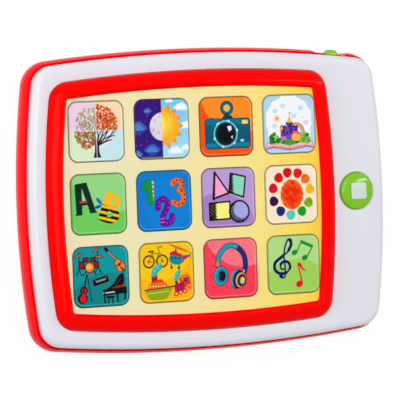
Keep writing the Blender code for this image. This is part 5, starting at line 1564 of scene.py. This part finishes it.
inlay_mesh = moved(loft(inlay_rings, "inlay"), Matrix.Translation((HOME.x, 0, 0)))
piece(
    "home_button_square", inlay_mesh, INLAY_WHITE, "home_button", "home_button_inlay",
    slot="white_plastic", sharp=40,
)

# --- Power slider -----------------------------------------------------------------------
# A green thumb piece with three grip ribs, moulded in one with the shield plate that hides its
# slot and the fork that moves the lever of the switch behind it.

slider_half = 4.0 * MM
cap_low = -RECESS_DEPTH + GAP
cap_rings = []
for i in range(13):
    turn = math.pi / 2 * i / 12
    shrink = 1 - math.cos(turn)
    half_x, half_y = slider_half - 2.4 * MM * shrink, 3.0 * MM - 1.7 * MM * shrink
    height = cap_low + 0.6 * MM + 2.6 * MM * math.sin(turn)
    cap_rings.append(rounded(half_x, half_y, 1.8 * MM - 0.9 * MM * shrink, height))
cap_rings.insert(0, rounded(slider_half, 3.0 * MM, 1.8 * MM, cap_low))
upright = Matrix.Rotation(-math.pi / 2, 4, "X")
rib_y, rib_z = (-0.6 * MM, 0.85 * MM), (-1.9 * MM, 1.9 * MM)
grip_ribs = [
    block((x - 0.35 * MM, x + 0.35 * MM), rib_y, rib_z, bevel=0.25 * MM) for x in (-1.3 * MM, 0.0, 1.3 * MM)
]
plate_front = wall_in - GAP
plate_back = plate_front - 0.8 * MM
slider_back = [
    block((-2.0 * MM, 2.0 * MM), (plate_back + 0.2 * MM, cap_low + 0.5 * MM), (-1.8 * MM, 1.8 * MM)),
    block((-8.5 * MM, 8.5 * MM), (plate_back, plate_front), (-3.2 * MM, 3.2 * MM)),
]
prong_y, prong_z = (plate_back - MM, plate_back + 0.4 * MM), (-1.5 * MM, 1.5 * MM)
prongs = [
    block((side * 1.75 * MM - 0.5 * MM, side * 1.75 * MM + 0.5 * MM), prong_y, prong_z) for side in (-1, 1)
]
slider_mesh = carved(
    moved(loft(cap_rings, "slider"), upright),
    [("UNION", mesh) for mesh in (heap(grip_ribs), *slider_back, heap(prongs))],
)
moved(slider_mesh, SLIDER_PLACE)
piece(
    "power_slider_thumb", slider_mesh, GREEN, "power_slider", "power_slider",
    slot="green_plastic", sharp=45,
)

# --- Battery door -----------------------------------------------------------------------
# A red plate flush with the back, hooked in by two tabs at its left edge and held by a captive
# cross-head screw in a counterbore.

door_tabs = []
for side in (-1, 1):
    tab_y = (WELL_Y + side * TAB_Y - 4 * MM, WELL_Y + side * TAB_Y + 4 * MM)
    low_x = DOOR_X[0] + GAP
    door_tabs.append(block((low_x, low_x + 1.5 * MM), tab_y, (door_high.z - 2.0 * MM, door_high.z)))
    door_tabs.append(block((door_low.x, low_x + MM), tab_y, (door_high.z - 1.4 * MM, door_high.z - 0.2 * MM)))
door_bottom = door_low.z
door_top = SEAT_Z - 0.15 * MM
door_edge = (
    (door_bottom, 0.5 * MM),
    (door_bottom + 0.15 * MM, 0.15 * MM),
    (door_bottom + 0.5 * MM, 0),
    (door_top, 0),
)
door_mesh = carved(
    door_shape(GAP, door_edge),
    [
        ("UNION", heap([door_tabs[0], door_tabs[2]])),
        ("UNION", heap([door_tabs[1], door_tabs[3]])),
        ("DIFFERENCE", rod(DOOR_SCREW.x, WELL_Y, 1.5 * MM, (-MM, door_top + MM))),
        ("DIFFERENCE", rod(DOOR_SCREW.x, WELL_Y, 2.8 * MM, (-MM, door_bottom + 1.3 * MM))),
    ],
)
piece("battery_door_plate", door_mesh, RED, "battery_door", "battery_door", slot="red_plastic", sharp=40)

# --- Screws -----------------------------------------------------------------------------
# Nickel-plated steel screws with pan heads and cross recesses. Six hold the case together, four
# the board, two the loudspeaker and a captive one the battery door.


def metal(name, colour, roughness, brushed=600):
    """Plated steel with fine drawn lines and stains in its polish."""
    made = bpy.data.materials.new(name)
    made.use_nodes = True
    tree = made.node_tree
    shader = tree.nodes["Principled BSDF"]
    shader.inputs["Metallic"].default_value = 1.0
    skin = tree.nodes.new("ShaderNodeGroup")
    skin.node_tree = MOULDED
    skin.inputs["Colour"].default_value = (*colour, 1)
    skin.inputs["Clouding"].default_value = 0.25
    skin.inputs["Gloss Roughness"].default_value = roughness
    skin.inputs["Haze"].default_value = 0.25
    lines = tree.nodes.new("ShaderNodeTexNoise")
    lines.inputs["Scale"].default_value = brushed
    stretch = tree.nodes.new("ShaderNodeMapping")
    stretch.inputs["Scale"].default_value = (1, 8, 1)
    place = tree.nodes.new("ShaderNodeTexCoord")
    tree.links.new(place.outputs["Object"], stretch.inputs["Vector"])
    tree.links.new(stretch.outputs[0], lines.inputs["Vector"])
    bump = tree.nodes.new("ShaderNodeBump")
    bump.inputs["Strength"].default_value = 0.1
    bump.inputs["Distance"].default_value = 0.0002
    tree.links.new(lines.outputs["Fac"], bump.inputs["Height"])
    tree.links.new(skin.outputs["Colour"], shader.inputs["Base Color"])
    tree.links.new(skin.outputs["Roughness"], shader.inputs["Roughness"])
    tree.links.new(bump.outputs["Normal"], shader.inputs["Normal"])
    return made


STEEL = metal("plated_steel", (0.62, 0.61, 0.58), 0.24)


def screw(name, node, head_height, body="case"):
    """A pan head with a cross recess and a grooved shank, pointing up."""
    low, high = corners(node)
    x, y = (low.x + high.x) / 2, (low.y + high.y) / 2
    head_r = (high.x - low.x) / 2
    seat = low.z + head_height
    shank_r = 1.2 * MM if head_r < 4 * MM else 1.0 * MM
    profile = [(0, high.z), (0.45 * shank_r, high.z - 0.2 * MM)]
    pitch = 0.9 * MM
    turns = int((high.z - seat - 1.2 * MM) / pitch)
    for i in range(turns):
        z = high.z - 0.8 * MM - i * pitch
        core = shank_r - 0.28 * MM
        profile += [(shank_r, z), (core, z - 0.35 * pitch), (core, z - 0.6 * pitch)]
    profile += [
        (shank_r - 0.1 * MM, seat),
        (head_r - 0.15 * MM, seat),
        (head_r, seat - 0.15 * MM),
        (head_r, seat - 0.45 * head_height),
        (0.92 * head_r, seat - 0.72 * head_height),
        (0.7 * head_r, low.z + 0.06 * head_height),
        (0.4 * head_r, low.z),
        (0, low.z),
    ]
    slot_z = (low.z - MM, low.z + 0.6 * head_height)
    cross = [
        block((x - along * head_r, x + along * head_r), (y - across * head_r, y + across * head_r), slot_z)
        for along, across in ((0.55, 0.11), (0.11, 0.55))
    ]
    mesh = carved(turned(profile, name, x, y, steps=32), [("DIFFERENCE", cross[0]), ("DIFFERENCE", cross[1])])
    piece(name, mesh, STEEL, body, node, slot="steel", sharp=40)


for number in range(1, 7):
    screw(f"case_fixing_{number}", f"case_screw_{number}", 1.8 * MM)
for number in range(1, 5):
    screw(f"board_fixing_{number}", f"board_screw_{number}", 1.4 * MM)
screw("door_fixing", "battery_door_screw", 0.9 * MM, "battery_door")

# --- Inside pieces ----------------------------------------------------------------------
# Cells, contacts, board, keypad, loudspeaker, switches and leads keep their engineered shapes;
# each gets the finish of the real thing.


def dress(node, material):
    """Gives a CAD node its finish."""
    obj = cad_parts[node]
    obj.data.materials.clear()
    obj.data.materials.append(material)


RUBBER = plastic("keypad_rubber", srgb(176, 178, 182), roughness=0.7, clouding=0.1, peel=0.2, specular=0.25)
LAMINATE = plastic("board_laminate", srgb(22, 92, 48), roughness=0.35, clouding=0.3, peel=0.15)
BLACK = plastic("black_plastic", srgb(28, 28, 30), roughness=0.45, clouding=0.2, peel=0.15)
PULP = plastic("speaker_pulp", srgb(40, 38, 36), roughness=0.85, clouding=0.5, peel=0.4, specular=0.2)
FERRITE = plastic("ferrite", srgb(52, 52, 56), roughness=0.6, clouding=0.3, peel=0.3)
JACKET = plastic("cell_jacket", srgb(36, 60, 110), roughness=0.2, clouding=0.08, coat=0.3)
RED_WIRE = plastic("red_insulation", srgb(206, 24, 20), roughness=0.4)
BLACK_WIRE = plastic("black_insulation", srgb(26, 26, 28), roughness=0.4)
BLUE_WIRE = plastic("blue_insulation", srgb(24, 62, 168), roughness=0.4)
CONTACT = metal("contact_nickel", (0.72, 0.70, 0.64), 0.18, 900)

for material, nodes in (
    (RUBBER, ("rubber_keypad",)),
    (LAMINATE, ("main_board",)),
    (BLACK, ("sound_chip", "capacitor", "home_switch", "switch_lever")),
    (STEEL, ("slide_switch", "speaker_frame", "speaker_screw_1", "speaker_screw_2")),
    (FERRITE, ("speaker_magnet",)),
    (PULP, ("speaker_cone",)),
    (JACKET, ("cell_1", "cell_2", "cell_3")),
    (CONTACT, ("contact_positive", "contact_negative", "contact_link_left", "contact_link_right")),
    (RED_WIRE, ("battery_lead_positive", "speaker_lead_2")),
    (BLACK_WIRE, ("battery_lead_negative", "speaker_lead_1")),
    (BLUE_WIRE, ("switch_lead_1", "switch_lead_2")),
):
    for node in nodes:
        dress(node, material)
